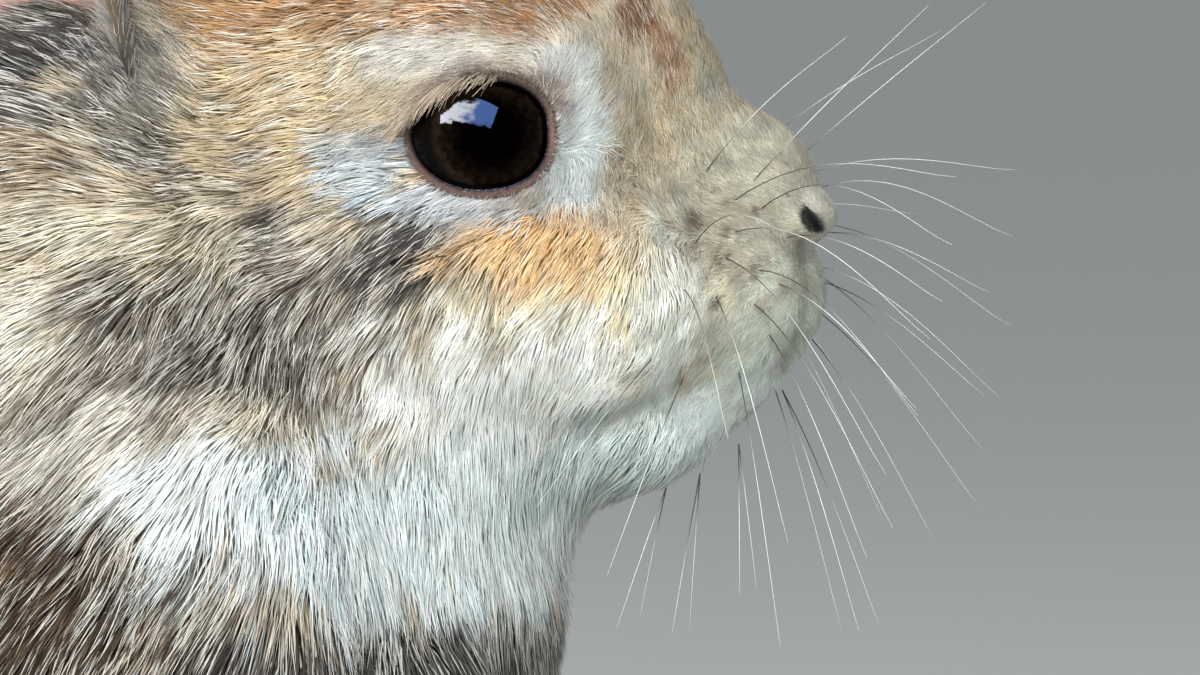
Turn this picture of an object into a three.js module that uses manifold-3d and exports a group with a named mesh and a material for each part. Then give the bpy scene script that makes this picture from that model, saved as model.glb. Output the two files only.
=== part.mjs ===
// A young dwarf rabbit crouching on level ground, life size, as a still model.
// Units are millimetres. +X points towards the nose, +Y to the rabbit's left and +Z up.
// The ground is z = 0, and the masses are placed from a point under the back of the head.
// Every size is that of the outside of the coat, out to the tips of the fur. The two sides are alike.
//
// The body is one smooth skin round a set of rounded masses (skull, cheeks, barrel, thigh and so on).
// That skin is parted by thin cuts into the parts a person would name. Ears, eyes and the longest whiskers
// are made on their own.
import * as THREE from "three";
import { mergeVertices } from "three/addons/utils/BufferGeometryUtils.js";
import Module from "manifold-3d";

const wasm = await Module();
wasm.setup();

// ---- Driving dimensions ----

const GAP = 0.3; // clearance left by every cut
const EYE_HEIGHT = 86; // from the ground to the middle of the eye
const EYE_AHEAD = 3.6;
const EYE_SIDE = 14; // from the middle of the head to the middle of the eyeball
const EYE_RADIUS = 8.2;
const EAR_LENGTH = 70;
const EAR_HALF_WIDTH = 12.5;
const EAR_WALL = 3.2; // skin, cartilage and the short fur on both faces
const EAR_ROOT = [-40, 13.5, EYE_HEIGHT + 3];
const EAR_BACKWARD = 24; // lean of the ear from upright, in degrees
const EAR_OUTWARD = 15;
const EAR_FACING = 80; // how far the cup of the ear is turned from straight ahead to the side

// The longest whiskers of each side: the root's place ahead and up, how far the tip lies from it ahead,
// to the side and up, and how far the middle is bowed upwards.
const WHISKER_THICK = 0.6;
const WHISKERS = {
  upper: { root: [26.5, EYE_HEIGHT - 7], tip: [25, 9, 3], bow: 3.5 },
  middle: { root: [26.9, EYE_HEIGHT - 10], tip: [23, 12, -10], bow: 4.5 },
  lower: { root: [29.9, EYE_HEIGHT - 13.6], tip: [19, 12, -14], bow: 3.5 },
};

// Where the body is parted. Each cut is a plane through two points of the side view, given as [x, z].
const JAW_CUT = { back: [-66, EYE_HEIGHT + 18], front: [10, EYE_HEIGHT - 41] };
const SHOULDER_CUT = { back: [-86, 108], front: [6, 33] };

// ---- Masses ----
// Each one is an ellipsoid: its middle, its three half sizes and its tilt in degrees (positive is nose down).
// A mass with side > 0 stands on both sides of the body.
// blend is the width over which it melts into the masses listed before it.

const ball = (x, side, z, rx, ry, rz, tilt = 0, blend = 8) => ({ x, side, z, rx, ry, rz, tilt, blend });
const onHead = (x, side, up, ...rest) => ball(x, side, EYE_HEIGHT + up, ...rest);

const MASSES = {
  head: [
    onHead(-13, 0, 1.5, 30, 18.5, 19.5, 6), // skull
    onHead(4.7, 0, 6, 18.4, 14, 15.1, 0, 6), // forehead
    onHead(13.2, 0, -2.8, 14.7, 11.2, 13.3, 42, 5), // bridge of the face
    onHead(26.4, 0, -6.6, 8, 6.6, 9, 0, 4), // nose
    onHead(33, 0, -8.4, 3.2, 4.6, 2.8, 0, 1.5), // tip of the nose
    onHead(24.8, 4.4, -16.2, 9.4, 7.2, 8.7, 0, 2.5), // whisker pads
    onHead(20.5, 0, -20.2, 11, 8.5, 11, 28, 4), // lower lip and chin
    onHead(8.5, 0, -28.8, 14.5, 9, 8.5, 12, 4), // under the jaw
    onHead(-5, 11.5, -15.5, 20, 12.5, 15.5, 0, 6), // cheeks
    onHead(11, 10, -16, 13.5, 8.5, 13, 0, 3), // front of the cheeks, where the fur stands out
    onHead(-10, 0, -28, 21, 17, 15, 12, 6), // throat
    onHead(2, 11.3, 7, 13, 8, 6, 4, 5), // brows
    onHead(9, 11, 1, 9, 7, 9, 0, 4), // in front of the eyes
  ],
  neck: [ball(-40, 0, 74, 30, 25, 28, 30, 12)],
  trunk: [
    ball(-26.6, 0, 39, 35, 32, 35, 0, 8), // chest
    ball(-42, 17, 50, 26, 21, 36, 0, 12), // shoulders
    ball(-76, 0, 56, 52, 43, 49, 0, 12), // barrel
    ball(-98, 0, 67, 48, 39, 45, 0, 12), // back
    ball(-121, 0, 51, 39, 42, 50, 0, 12), // rump
    ball(-84, 0, 33, 57, 37, 31, 0, 12), // belly
  ],
  tail: [ball(-158, 0, 50, 13, 13, 20, -6, 5)],
  foreleg: [
    ball(-24, 26, 34, 18, 12.5, 24, 0, 8), // upper arm
    ball(-4, 18.5, 19, 10.5, 9.5, 19, -14, 6), // forearm
  ],
  forefoot: [
    ball(6, 16.5, 6.5, 14, 8.4, 8, 0, 5),
    ...toes(4, 17, 16.5, 4.4, 5.2),
  ],
  hindleg: [
    ball(-106, 33, 41, 35, 20, 37, 0, 8), // thigh
    ball(-80, 38, 28, 19, 14, 22, 0, 8), // knee
    ball(-131, 36, 16, 15, 11, 15, 0, 6), // hock
  ],
  hindfoot: [
    ball(-97, 38, 7, 40, 9.6, 10, 0, 5),
    ...toes(4, -57, 38, 4.8, 6),
  ],
};

// The toes of a foot: their count, the foot's front and middle line, their spacing and their width.
function toes(count, front, middle, spacing, width) {
  return Array.from({ length: count }, (_, i) => {
    const across = i - (count - 1) / 2;
    const reach = front - 1.6 * across * across; // the middle toes reach furthest
    return ball(reach, middle + across * spacing, 5.2, 7.5, width / 2 + 0.4, 5.6, 0, 2);
  });
}

// ---- The field: how far a point is outside the skin, below zero inside ----

function outside(m, x, y, z) {
  const turn = THREE.MathUtils.degToRad(m.tilt);
  const dx = x - m.x;
  const dz = z - m.z;
  const px = dx * Math.cos(turn) - dz * Math.sin(turn);
  const pz = dx * Math.sin(turn) + dz * Math.cos(turn);
  const py = y - m.side;
  const near = Math.hypot(px / m.rx, py / m.ry, pz / m.rz);
  const slope = Math.hypot(px / m.rx ** 2, py / m.ry ** 2, pz / m.rz ** 2);
  return slope < 1e-9 ? -Math.min(m.rx, m.ry, m.rz) : (near * (near - 1)) / slope;
}

function melt(a, b, width) {
  const share = Math.max(width - Math.abs(a - b), 0) / width;
  return Math.min(a, b) - (share * share * width) / 4;
}

const ALL_MASSES = Object.values(MASSES).flat();
const flesh = (x, y, z) =>
  ALL_MASSES.reduce((found, m) => melt(found, outside(m, x, Math.abs(y), z), m.blend), 1e3);

// ---- From a field to a solid ----

// Grid lines from the first start to the end: after each start they lie about one step apart.
function ruled(starts, end) {
  const stretches = starts.map(([start, step], i) => {
    const length = (starts[i + 1]?.[0] ?? end) - start;
    const count = Math.round(length / step);
    return Array.from({ length: count }, (_, line) => start + (length * line) / count);
  });
  return [...stretches.flat(), end];
}

// The closed surface where field is zero, on a grid given by its lines along x, y and z:
// a vertex in each box that the surface crosses, and a quad round each edge that it crosses.
function surfaceOf(field, grid) {
  const n = grid.map((lines) => lines.length);
  const at = (...ijk) => ijk.map((line, axis) => grid[axis][line]);
  const index = (i, j, k) => (k * n[1] + j) * n[0] + i;
  const value = new Float64Array(n[0] * n[1] * n[2]);
  const onRim = (...ijk) => ijk.some((v, a) => v === 0 || v === n[a] - 1); // outside, to close the surface
  for (let k = 0; k < n[2]; k++)
    for (let j = 0; j < n[1]; j++)
      for (let i = 0; i < n[0]; i++) value[index(i, j, k)] = onRim(i, j, k) ? 1 : field(...at(i, j, k));
  untangle(value, n, index);

  const vertexOf = new Map();
  const vertices = [];
  const corners = [0, 1, 2, 3, 4, 5, 6, 7].map((c) => [c & 1, (c >> 1) & 1, c >> 2]);
  const apart = (a, b) => Math.hypot(a[0] - b[0], a[1] - b[1], a[2] - b[2]);
  const edges = corners.flatMap((a, i) =>
    corners.slice(i + 1).flatMap((b) => (apart(a, b) === 1 ? [[a, b]] : [])),
  );
  for (let k = 0; k < n[2] - 1; k++)
    for (let j = 0; j < n[1] - 1; j++)
      for (let i = 0; i < n[0] - 1; i++) {
        const sum = [0, 0, 0];
        let crossings = 0;
        for (const [a, b] of edges) {
          const va = value[index(i + a[0], j + a[1], k + a[2])];
          const vb = value[index(i + b[0], j + b[1], k + b[2])];
          if (va < 0 === vb < 0) continue;
          const share = va / (va - vb);
          const [pa, pb] = [at(i + a[0], j + a[1], k + a[2]), at(i + b[0], j + b[1], k + b[2])];
          for (const c of [0, 1, 2]) sum[c] += pa[c] + share * (pb[c] - pa[c]);
          crossings++;
        }
        if (!crossings) continue;
        vertexOf.set(index(i, j, k), vertices.length);
        const box = at(i + 1, j + 1, k + 1).map((v, axis) => v - at(i, j, k)[axis]);
        vertices.push(settled(field, sum.map((s) => s / crossings), box));
      }

  const triangles = [];
  const steps = [
    [1, 0, 0],
    [0, 1, 0],
    [0, 0, 1],
  ];
  for (let k = 0; k < n[2] - 1; k++)
    for (let j = 0; j < n[1] - 1; j++)
      for (let i = 0; i < n[0] - 1; i++)
        steps.forEach((step, axis) => {
          const here = value[index(i, j, k)] < 0;
          const there = value[index(i + step[0], j + step[1], k + step[2])] < 0;
          if (here === there) return;
          const u = steps[(axis + 1) % 3];
          const v = steps[(axis + 2) % 3];
          const cube = (a, b) =>
            vertexOf.get(index(i - a * u[0] - b * v[0], j - a * u[1] - b * v[1], k - a * u[2] - b * v[2]));
          const ring = [cube(0, 0), cube(1, 0), cube(1, 1), cube(0, 1)];
          if (!here) ring.reverse();
          triangles.push(...shorterSplit(ring, vertices));
        });
  return { vertices, triangles };
}

// A grid face with its inside corners on one diagonal would join two sheets of skin in one edge,
// so the outside corner that is nearest the skin becomes inside.
function untangle(value, n, index) {
  const steps = [
    [1, 0, 0],
    [0, 1, 0],
    [0, 0, 1],
  ];
  let changed = false;
  for (let k = 0; k < n[2] - 1; k++)
    for (let j = 0; j < n[1] - 1; j++)
      for (let i = 0; i < n[0] - 1; i++)
        for (const axis of [0, 1, 2]) {
          const u = steps[(axis + 1) % 3];
          const v = steps[(axis + 2) % 3];
          const corner = (a, b) =>
            index(i + a * u[0] + b * v[0], j + a * u[1] + b * v[1], k + a * u[2] + b * v[2]);
          const ring = [corner(0, 0), corner(1, 0), corner(1, 1), corner(0, 1)];
          const inside = ring.map((c) => value[c] < 0);
          if (inside[0] !== inside[2] || inside[1] !== inside[3] || inside[0] === inside[1]) continue;
          const outer = ring.filter((c, at) => !inside[at]);
          value[value[outer[0]] < value[outer[1]] ? outer[0] : outer[1]] = -1e-3;
          changed = true;
        }
  if (changed) untangle(value, n, index);
}

// A quad as two triangles, cut along its shorter diagonal.
function shorterSplit([a, b, c, d], vertices) {
  const length = (p, q) => Math.hypot(...vertices[p].map((v, i) => v - vertices[q][i]));
  return length(a, c) < length(b, d) ? [a, b, c, a, c, d] : [a, b, d, b, c, d];
}

// Moves a vertex along the field's slope until it lies on the surface, by at most half its box.
function settled(field, start, box) {
  const h = 0.05;
  const p = [...start];
  for (let round = 0; round < 3; round++) {
    const here = field(...p);
    const slope = [0, 1, 2].map((i) => {
      const q = [...p];
      q[i] += h;
      return (field(...q) - here) / h;
    });
    const steep = slope[0] ** 2 + slope[1] ** 2 + slope[2] ** 2;
    if (steep < 1e-6) break;
    for (const i of [0, 1, 2]) p[i] -= (here * slope[i]) / steep;
  }
  return p.every((v, i) => Math.abs(v - start[i]) < box[i] / 2) ? p : start;
}

const solidFrom = ({ vertices, triangles }) =>
  new wasm.Manifold(
    new wasm.Mesh({
      numProp: 3,
      vertProperties: new Float32Array(vertices.flat()),
      triVerts: new Uint32Array(triangles),
    }),
  );

function solidOf(geometry) {
  const bare = geometry.clone().deleteAttribute("normal").deleteAttribute("uv");
  const merged = mergeVertices(bare, 1e-4);
  return new wasm.Manifold(
    new wasm.Mesh({
      numProp: 3,
      vertProperties: merged.attributes.position.array,
      triVerts: new Uint32Array(merged.index.array),
    }),
  );
}

function geometryOf(solid) {
  const { vertProperties, triVerts } = solid.getMesh();
  const geometry = new THREE.BufferGeometry()
    .setAttribute("position", new THREE.BufferAttribute(vertProperties, 3))
    .setIndex(new THREE.BufferAttribute(triVerts, 1));
  geometry.computeVertexNormals();
  return geometry;
}

// ---- Cutters ----

// A block on the front and upper side of a cut plane, set back from it by half the gap.
function blockAhead({ back, front }, sign = 1) {
  const size = 600;
  const along = new THREE.Vector3(front[0] - back[0], 0, front[1] - back[1]).normalize();
  const ahead = new THREE.Vector3(-along.z, 0, along.x).multiplyScalar(sign);
  const middle = new THREE.Vector3((back[0] + front[0]) / 2, 0, (back[1] + front[1]) / 2);
  return solidOf(
    new THREE.BoxGeometry(size, size, size)
      .rotateY(Math.atan2(-ahead.z, ahead.x))
      .translate(...middle.addScaledVector(ahead, size / 2 + GAP / 2).toArray()),
  );
}
const blockBehind = (cut) => blockAhead(cut, -1);
const aheadOf = ({ back, front }) => {
  const [dx, dz] = [front[0] - back[0], front[1] - back[1]];
  return (x, z) => (-(x - back[0]) * dz + (z - back[1]) * dx) / Math.hypot(dx, dz);
};

const aboveGround = solidOf(new THREE.BoxGeometry(900, 900, 400).translate(0, 0, 200));

// An egg-shaped cutter, swollen by grow on every side.
function egg([x, y, z], [rx, ry, rz], grow = 0) {
  return solidOf(
    new THREE.SphereGeometry(1, 13, 8)
      .rotateX(Math.PI / 2)
      .scale(rx + grow, ry + grow, rz + grow)
      .translate(x, y, z),
  );
}

// ---- Ear: a leaf-shaped cup, rolled into a tube at its root and nearly flat at its tip ----

const EAR_RINGS = 10;
const EAR_STEPS = 5; // across the ear, on each face
const EAR_SINK = 7; // how far the root starts inside the head
const ROOT_ROLL = 2.1; // half of the angle that the wall goes round, in radians
const TIP_ROLL = 0.75;
const ROOT_WIDTH = 0.62; // of the full width

function earSurface(side) {
  const [lean, out, facing] = [EAR_BACKWARD, EAR_OUTWARD, EAR_FACING].map(THREE.MathUtils.degToRad);
  const up = new THREE.Vector3(-Math.sin(lean), side * Math.sin(out), Math.cos(lean)).normalize();
  const cup = new THREE.Vector3(Math.cos(facing), side * Math.sin(facing), 0); // out of the opening
  cup.addScaledVector(up, -cup.dot(up)).normalize();
  const across = new THREE.Vector3().crossVectors(up, cup);
  const [x, y, z] = EAR_ROOT;
  const root = new THREE.Vector3(x, side * y, z).addScaledVector(up, -EAR_SINK);

  const vertices = [];
  const loop = 2 * EAR_STEPS;
  for (let ring = 0; ring <= EAR_RINGS; ring++) {
    const share = Math.sin(((ring / EAR_RINGS) * Math.PI) / 2) * 0.995; // of the way to a blunt tip
    const spread = ROOT_WIDTH + (1 - ROOT_WIDTH) * THREE.MathUtils.smoothstep(share, 0, 0.5);
    const halfWidth = EAR_HALF_WIDTH * spread * Math.sqrt(1 - share ** 3);
    const unrolled = THREE.MathUtils.smoothstep(share, 0.05, 0.75);
    const roll = THREE.MathUtils.lerp(ROOT_ROLL, TIP_ROLL, unrolled);
    const radius = halfWidth / (roll < Math.PI / 2 ? Math.sin(roll) : 1);
    const wall = Math.min(EAR_WALL, halfWidth * 0.9);
    for (let step = 0; step < loop; step++) {
      const onBack = step <= EAR_STEPS;
      const place = 2 * (onBack ? step : loop - step) / EAR_STEPS - 1; // -1 and 1 are the rims
      const angle = roll * place;
      const half = (wall / 2) * Math.sqrt(1 - place ** 4) * (onBack ? 1 : -1);
      const point = root
        .clone()
        .addScaledVector(up, share * (EAR_LENGTH + EAR_SINK))
        .addScaledVector(cup, radius * (0.5 - Math.cos(angle)) - half * Math.cos(angle))
        .addScaledVector(across, (radius + half) * Math.sin(angle));
      vertices.push(point.toArray());
    }
  }

  const triangles = [];
  for (let ring = 0; ring < EAR_RINGS; ring++)
    for (let step = 0; step < loop; step++) {
      const [a, b] = [ring * loop + step, ring * loop + ((step + 1) % loop)];
      triangles.push(b, a, a + loop, b, a + loop, b + loop);
    }
  const top = EAR_RINGS * loop;
  for (let step = 0; step < EAR_STEPS; step++) {
    const strip = [step, step + 1, loop - step - 1, (loop - step) % loop];
    const corners = strip.filter((v, i) => strip.indexOf(v) === i); // a triangle at each rim
    for (let i = 2; i < corners.length; i++) {
      const [a, b, c] = [corners[0], corners[i - 1], corners[i]];
      triangles.push(a, b, c, top + c, top + b, top + a);
    }
  }
  return { vertices, triangles };
}

// ---- Whisker: a bowed three-sided rod that starts a little way inside the muzzle ----

const WHISKER_STEPS = 6;
const WHISKER_SINK = 0.08; // how much longer it is at the root, as a share of its length

function whiskerSurface(side, { root, tip, bow }) {
  const [ahead, up] = root;
  let out = 30;
  while (out > 0 && flesh(ahead, out, up) > 0) out -= 0.1;
  const start = new THREE.Vector3(ahead, side * out, up);
  const reach = new THREE.Vector3(tip[0], side * tip[1], tip[2]);
  const place = (share) =>
    start
      .clone()
      .addScaledVector(reach, share)
      .add(new THREE.Vector3(0, 0, bow * 4 * share * (1 - share) ** 1.4));

  const vertices = [];
  const triangles = [];
  const corners = [0, 1, 2];
  for (let ring = 0; ring <= WHISKER_STEPS; ring++) {
    const share = THREE.MathUtils.lerp(-WHISKER_SINK, 1, ring / WHISKER_STEPS);
    const ahead = place(Math.min(share + 0.05, 1)).sub(place(Math.min(share, 0.95))).normalize();
    const across = new THREE.Vector3(0, 0, 1).cross(ahead).normalize();
    const upwards = ahead.clone().cross(across);
    for (const corner of corners) {
      const angle = (corner * 2 * Math.PI) / corners.length;
      const radius = WHISKER_THICK / 1.5; // so that the triangle's height is the thickness
      const point = place(share)
        .addScaledVector(across, radius * Math.cos(angle))
        .addScaledVector(upwards, radius * Math.sin(angle));
      vertices.push(point.toArray());
    }
    if (ring === WHISKER_STEPS) break;
    for (const corner of corners) {
      const [a, b] = [3 * ring + corner, 3 * ring + ((corner + 1) % 3)];
      triangles.push(a, b, b + 3, a, b + 3, a + 3);
    }
  }
  const last = 3 * WHISKER_STEPS;
  triangles.push(2, 1, 0, last, last + 1, last + 2);
  return { vertices, triangles };
}

// ---- Parts ----

const MARGIN = 5; // how far a fine block reaches past the cut that ends it
const aheadOfJaw = aheadOf(JAW_CUT);
const headField = (x, y, z) => Math.max(flesh(x, y, z), -MARGIN - aheadOfJaw(x, z));
const headGrid = [
  ruled([[-78, 6.4], [-10, 4.8], [21, 2.7]], 40),
  ruled([[-33, 5]], 33),
  ruled([[32, 5], [64, 2.9], [85, 5]], 122),
];
const bodyGrid = [
  ruled([[-190, 13.6], [-40, 9.8]], 34),
  ruled([[-65, 11.8]], 65),
  ruled([[-14, 8.2], [42, 13]], 126),
];

const headBlock = solidFrom(surfaceOf(headField, headGrid));
const grownHead = solidFrom(surfaceOf((x, y, z) => flesh(x, y, z) - GAP, headGrid)); // clears ears, whiskers
const bodyField = (x, y, z) => Math.max(flesh(x, y, z), aheadOfJaw(x, z) - MARGIN);
const bodyBlock = solidFrom(surfaceOf(bodyField, bodyGrid)).intersect(aboveGround);

const SIDES = [
  ["left", 1],
  ["right", -1],
];
const eyeball = (side, grow = 0) =>
  egg([EYE_AHEAD, side * EYE_SIDE, EYE_HEIGHT], [EYE_RADIUS, EYE_RADIUS, EYE_RADIUS], grow);

// What each limb, and the tail, takes out of the body: the middle and the half sizes of an egg.
const REGIONS = {
  foreleg: { at: [-13, 28, 19], radii: [26, 19, 28] },
  forefoot: { at: [8, 17, 4], radii: [20, 13, 11.5] },
  hindleg: { at: [-103, 56, 35], radii: [48, 36, 46] },
  hindfoot: { at: [-95, 39, 4], radii: [55, 16.5, 14.2] },
  tail: { at: [-171, 0, 50], radii: [19, 19, 28] },
};
function region(name, side, grow = 0) {
  const { at, radii } = REGIONS[name];
  return egg([at[0], side * at[1], at[2]], radii, grow);
}

// The flesh of one foot, on a grid that is fine across the toes and along their tips.
const TOE_PITCH = { forefoot: 4.4, hindfoot: 4.8 };
function fineFoot(name, side) {
  const { at, radii } = REGIONS[name];
  const pitch = TOE_PITCH[name];
  const [back, front] = [at[0] - radii[0] - 9, at[0] + radii[0] + 4];
  const middle = side * MASSES[name][0].side;
  const along = ruled([[back, 16], [MASSES[name][1].x - 5, 4.2]], front);
  const across = ruled([[middle - 4 * pitch, pitch / 2]], middle + 4 * pitch);
  const upwards = ruled([[-13, 5]], 22);
  return solidFrom(surfaceOf(flesh, [along, across, upwards])).intersect(aboveGround);
}

const coat = (color) => new THREE.MeshStandardMaterial({ color, roughness: 0.9, metalness: 0 });
const SAND = coat(0xc7ab83);
const AGOUTI = coat(0x8f7f68);
const GREY = coat(0x8d8579);
const WHITE = coat(0xe4dfd6);
const HORN = coat(0xd8d2c4);
const WET_EYE = new THREE.MeshStandardMaterial({ color: 0x1d0f0a, roughness: 0.05, metalness: 0 });

const rabbit = new THREE.Group();
function addPart(name, solid, material) {
  const mesh = new THREE.Mesh(geometryOf(solid), material);
  mesh.name = name;
  rabbit.add(mesh);
}

const LIMBS = [
  ["foreleg", "forefoot"],
  ["hindleg", "hindfoot"],
];
let head = headBlock.intersect(blockAhead(JAW_CUT));
let neck = bodyBlock.intersect(blockBehind(JAW_CUT)).intersect(blockAhead(SHOULDER_CUT));
let trunk = bodyBlock.intersect(blockBehind(SHOULDER_CUT)).subtract(region("tail", 1, GAP));

for (const [name, side] of SIDES) {
  head = head.subtract(eyeball(side, GAP));
  addPart("eye_" + name, eyeball(side), WET_EYE);
  addPart("ear_" + name, solidFrom(earSurface(side)).subtract(grownHead), GREY);
  for (const [level, whisker] of Object.entries(WHISKERS)) {
    const rod = solidFrom(whiskerSurface(side, whisker)).subtract(grownHead);
    addPart("whisker_" + level + "_" + name, rod, HORN);
  }
  for (const [leg, foot] of LIMBS) {
    const whole = bodyBlock.intersect(region(leg, side));
    addPart(leg + "_" + name, whole.subtract(region(foot, side, GAP)), AGOUTI);
    addPart(foot + "_" + name, fineFoot(foot, side).intersect(region(foot, side)), SAND);
    for (const limb of [leg, foot]) {
      neck = neck.subtract(region(limb, side, GAP));
      trunk = trunk.subtract(region(limb, side, GAP));
    }
  }
}
addPart("head", head, SAND);
addPart("neck", neck, AGOUTI);
addPart("trunk", trunk, AGOUTI);
addPart("tail", bodyBlock.intersect(region("tail", 1)), WHITE);

// The origin is under the middle of the rabbit's length.
rabbit.position.x = -new THREE.Box3().setFromObject(rabbit).getCenter(new THREE.Vector3()).x;

export default rabbit;
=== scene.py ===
# %% [markdown]
# # A dwarf rabbit, crouching
# A rabbit is soft flesh under a coat that is millimetres deep on the face and about a centimetre on the back.
# So the model is made in the same order: one skin, then hair by hair the coat over it, then eyes, lids and whiskers.
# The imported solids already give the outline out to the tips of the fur. The skin is sunk under that outline
# by the coat's depth, and the hair fills the space between them.

# %% The frame
import math

import bpy
import numpy as np
from mathutils import Matrix, Vector, kdtree


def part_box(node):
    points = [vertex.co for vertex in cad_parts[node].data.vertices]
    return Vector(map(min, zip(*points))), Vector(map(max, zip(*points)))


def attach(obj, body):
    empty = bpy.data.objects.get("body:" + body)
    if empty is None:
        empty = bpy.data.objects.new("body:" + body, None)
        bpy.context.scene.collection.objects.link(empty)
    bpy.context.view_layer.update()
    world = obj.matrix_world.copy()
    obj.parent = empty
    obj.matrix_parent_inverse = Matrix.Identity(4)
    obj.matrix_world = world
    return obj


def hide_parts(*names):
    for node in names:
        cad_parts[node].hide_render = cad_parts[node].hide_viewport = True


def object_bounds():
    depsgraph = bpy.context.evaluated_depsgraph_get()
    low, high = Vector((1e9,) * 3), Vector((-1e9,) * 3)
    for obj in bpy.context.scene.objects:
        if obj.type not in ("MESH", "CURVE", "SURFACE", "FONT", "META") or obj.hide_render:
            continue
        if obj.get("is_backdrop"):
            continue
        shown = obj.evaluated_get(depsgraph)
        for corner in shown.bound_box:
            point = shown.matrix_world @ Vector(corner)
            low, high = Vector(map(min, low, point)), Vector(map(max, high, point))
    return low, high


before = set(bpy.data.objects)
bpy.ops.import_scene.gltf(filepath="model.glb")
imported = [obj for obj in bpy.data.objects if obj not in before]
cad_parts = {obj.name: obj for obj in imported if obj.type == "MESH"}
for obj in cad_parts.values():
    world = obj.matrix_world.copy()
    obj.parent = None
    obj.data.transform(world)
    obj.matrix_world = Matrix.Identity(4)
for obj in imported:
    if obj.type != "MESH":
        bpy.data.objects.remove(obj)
cad_box = [list(corner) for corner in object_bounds()]
print("frame:", len(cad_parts), "nodes, box", [[round(v, 3) for v in c] for c in cad_box])

# %% [markdown]
# ## Sizes
# The shapes below are worked out in millimetres, as a sculptor would measure the animal: ahead of a point under
# the back of the head, to the side of the middle line, and up from the ground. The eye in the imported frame
# says where that point is, and each finished mesh is moved there and turned to metres in one step.

# %% Sizes and the step to metres
EYE_AHEAD, EYE_SIDE, EYE_HEIGHT = 3.6, 14.0, 86.0  # the middle of an eyeball, in mm
EYE_RADIUS = 8.2
MM = 0.001
SIDES = {"left": 1, "right": -1}

eye_low, eye_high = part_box("eye_right")
eye_middle = (eye_low + eye_high) / 2
ORIGIN = np.array([eye_middle.x / MM - EYE_AHEAD, 0.0, 0.0])
rng = np.random.default_rng(7)


def to_metres(points):
    """Points in millimetres round the point under the head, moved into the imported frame, in metres."""
    return (np.asarray(points) + ORIGIN) * MM


def unit(v):
    """Vectors of length 1 in the same directions."""
    return v / np.maximum(np.linalg.norm(v, axis=-1, keepdims=True), 1e-9)


def smooth(low, high, value):
    """0 at low, 1 at high and an even curve between them; low may also be the larger of the two."""
    t = np.clip((value - low) / (high - low), 0, 1)
    return t * t * (3 - 2 * t)


print("the point under the head is", ORIGIN[0].round(2), "mm ahead of the frame's origin")

# %% [markdown]
# ## The outline
# The outline is built as an armature is padded out with clay: skull, cheeks, barrel and thighs are egg shapes, and
# each one melts into those before it. Written as a formula this gives, at any point, how far it is outside
# the body. A mesh could be sculpted instead, but then the skin, the coat's depth and the way the hair lies
# would each have to be fitted to it. Here all three come from the one formula.

# %% The masses under the coat
# ahead, side, up, three half sizes, tilt in degrees (nose down), and how widely it melts into the rest.
HEAD = [
    (-13, 0, 1.5, 30, 18.5, 19.5, 6, 8),  # skull
    (4.7, 0, 6, 18.4, 14, 15.1, 0, 6),  # forehead
    (13.2, 0, -2.8, 14.7, 11.2, 13.3, 42, 5),  # bridge of the face
    (26.4, 0, -6.6, 8, 6.6, 9, 0, 4),  # nose
    (33, 0, -8.4, 3.2, 4.6, 2.8, 0, 1.5),  # tip of the nose
    (24.8, 4.4, -16.2, 9.4, 7.2, 8.7, 0, 2.5),  # whisker pads
    (20.5, 0, -20.2, 11, 8.5, 11, 28, 4),  # lower lip and chin
    (8.5, 0, -28.8, 14.5, 10, 8.5, 12, 5),  # under the jaw
    (-5, 11.5, -15.5, 20, 12.5, 15.5, 0, 6),  # cheeks
    (11, 10, -16, 13.5, 8.5, 13, 0, 4.5),  # front of the cheeks
    (-10, 0, -28, 21, 17, 15, 12, 6),  # throat
    (2, 11.3, 7, 13, 8, 6, 4, 5),  # brows
    (9, 11, 1, 9, 7, 9, 0, 4),  # in front of the eyes
]
BODY = [
    (-40, 0, 74, 30, 25, 28, 30, 12),  # neck
    (-26.6, 0, 39, 35, 32, 35, 0, 8),  # chest
    (-42, 17, 50, 26, 21, 36, 0, 12),  # shoulders
    (-76, 0, 56, 52, 43, 49, 0, 12),  # barrel
    (-98, 0, 67, 48, 39, 45, 0, 12),  # back
    (-121, 0, 51, 39, 42, 50, 0, 12),  # rump
    (-84, 0, 33, 57, 37, 31, 0, 12),  # belly
    (-158, 0, 50, 13, 13, 20, -6, 5),  # tail
    (-24, 26, 34, 18, 12.5, 24, 0, 8),  # upper arm
    (-4, 18.5, 19, 10.5, 9.5, 19, -14, 6),  # forearm
    (-106, 33, 41, 35, 20, 37, 0, 8),  # thigh
    (-80, 38, 28, 19, 14, 22, 0, 8),  # knee
    (-131, 36, 16, 15, 11, 15, 0, 6),  # hock
]


def foot(ahead, side, length, width, height, toe_front, pitch, toe_width):
    """A long sole with four toes at its front, the middle two reaching furthest."""
    masses = [(ahead, side, 6.8, length, width, height, 0, 5)]
    for across in (-1.5, -0.5, 0.5, 1.5):
        reach = toe_front - 1.6 * across * across
        masses.append((reach, side + across * pitch, 5.2, 7.5, toe_width / 2 + 0.4, 5.6, 0, 2))
    return masses


FORE_TOES = (4, 16.5, 4.4)  # how far ahead, middle line and spacing
HIND_TOES = (-57, 38, 4.8)
FORE_FOOT = foot(6, 16.5, 14, 8.4, 8, FORE_TOES[0], FORE_TOES[2], 5.2)
HIND_FOOT = foot(-97, 38, 40, 9.6, 10, HIND_TOES[0], HIND_TOES[2], 6)
MASSES = [(x, y, z + EYE_HEIGHT, *rest) for x, y, z, *rest in HEAD] + BODY + FORE_FOOT + HIND_FOOT


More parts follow.
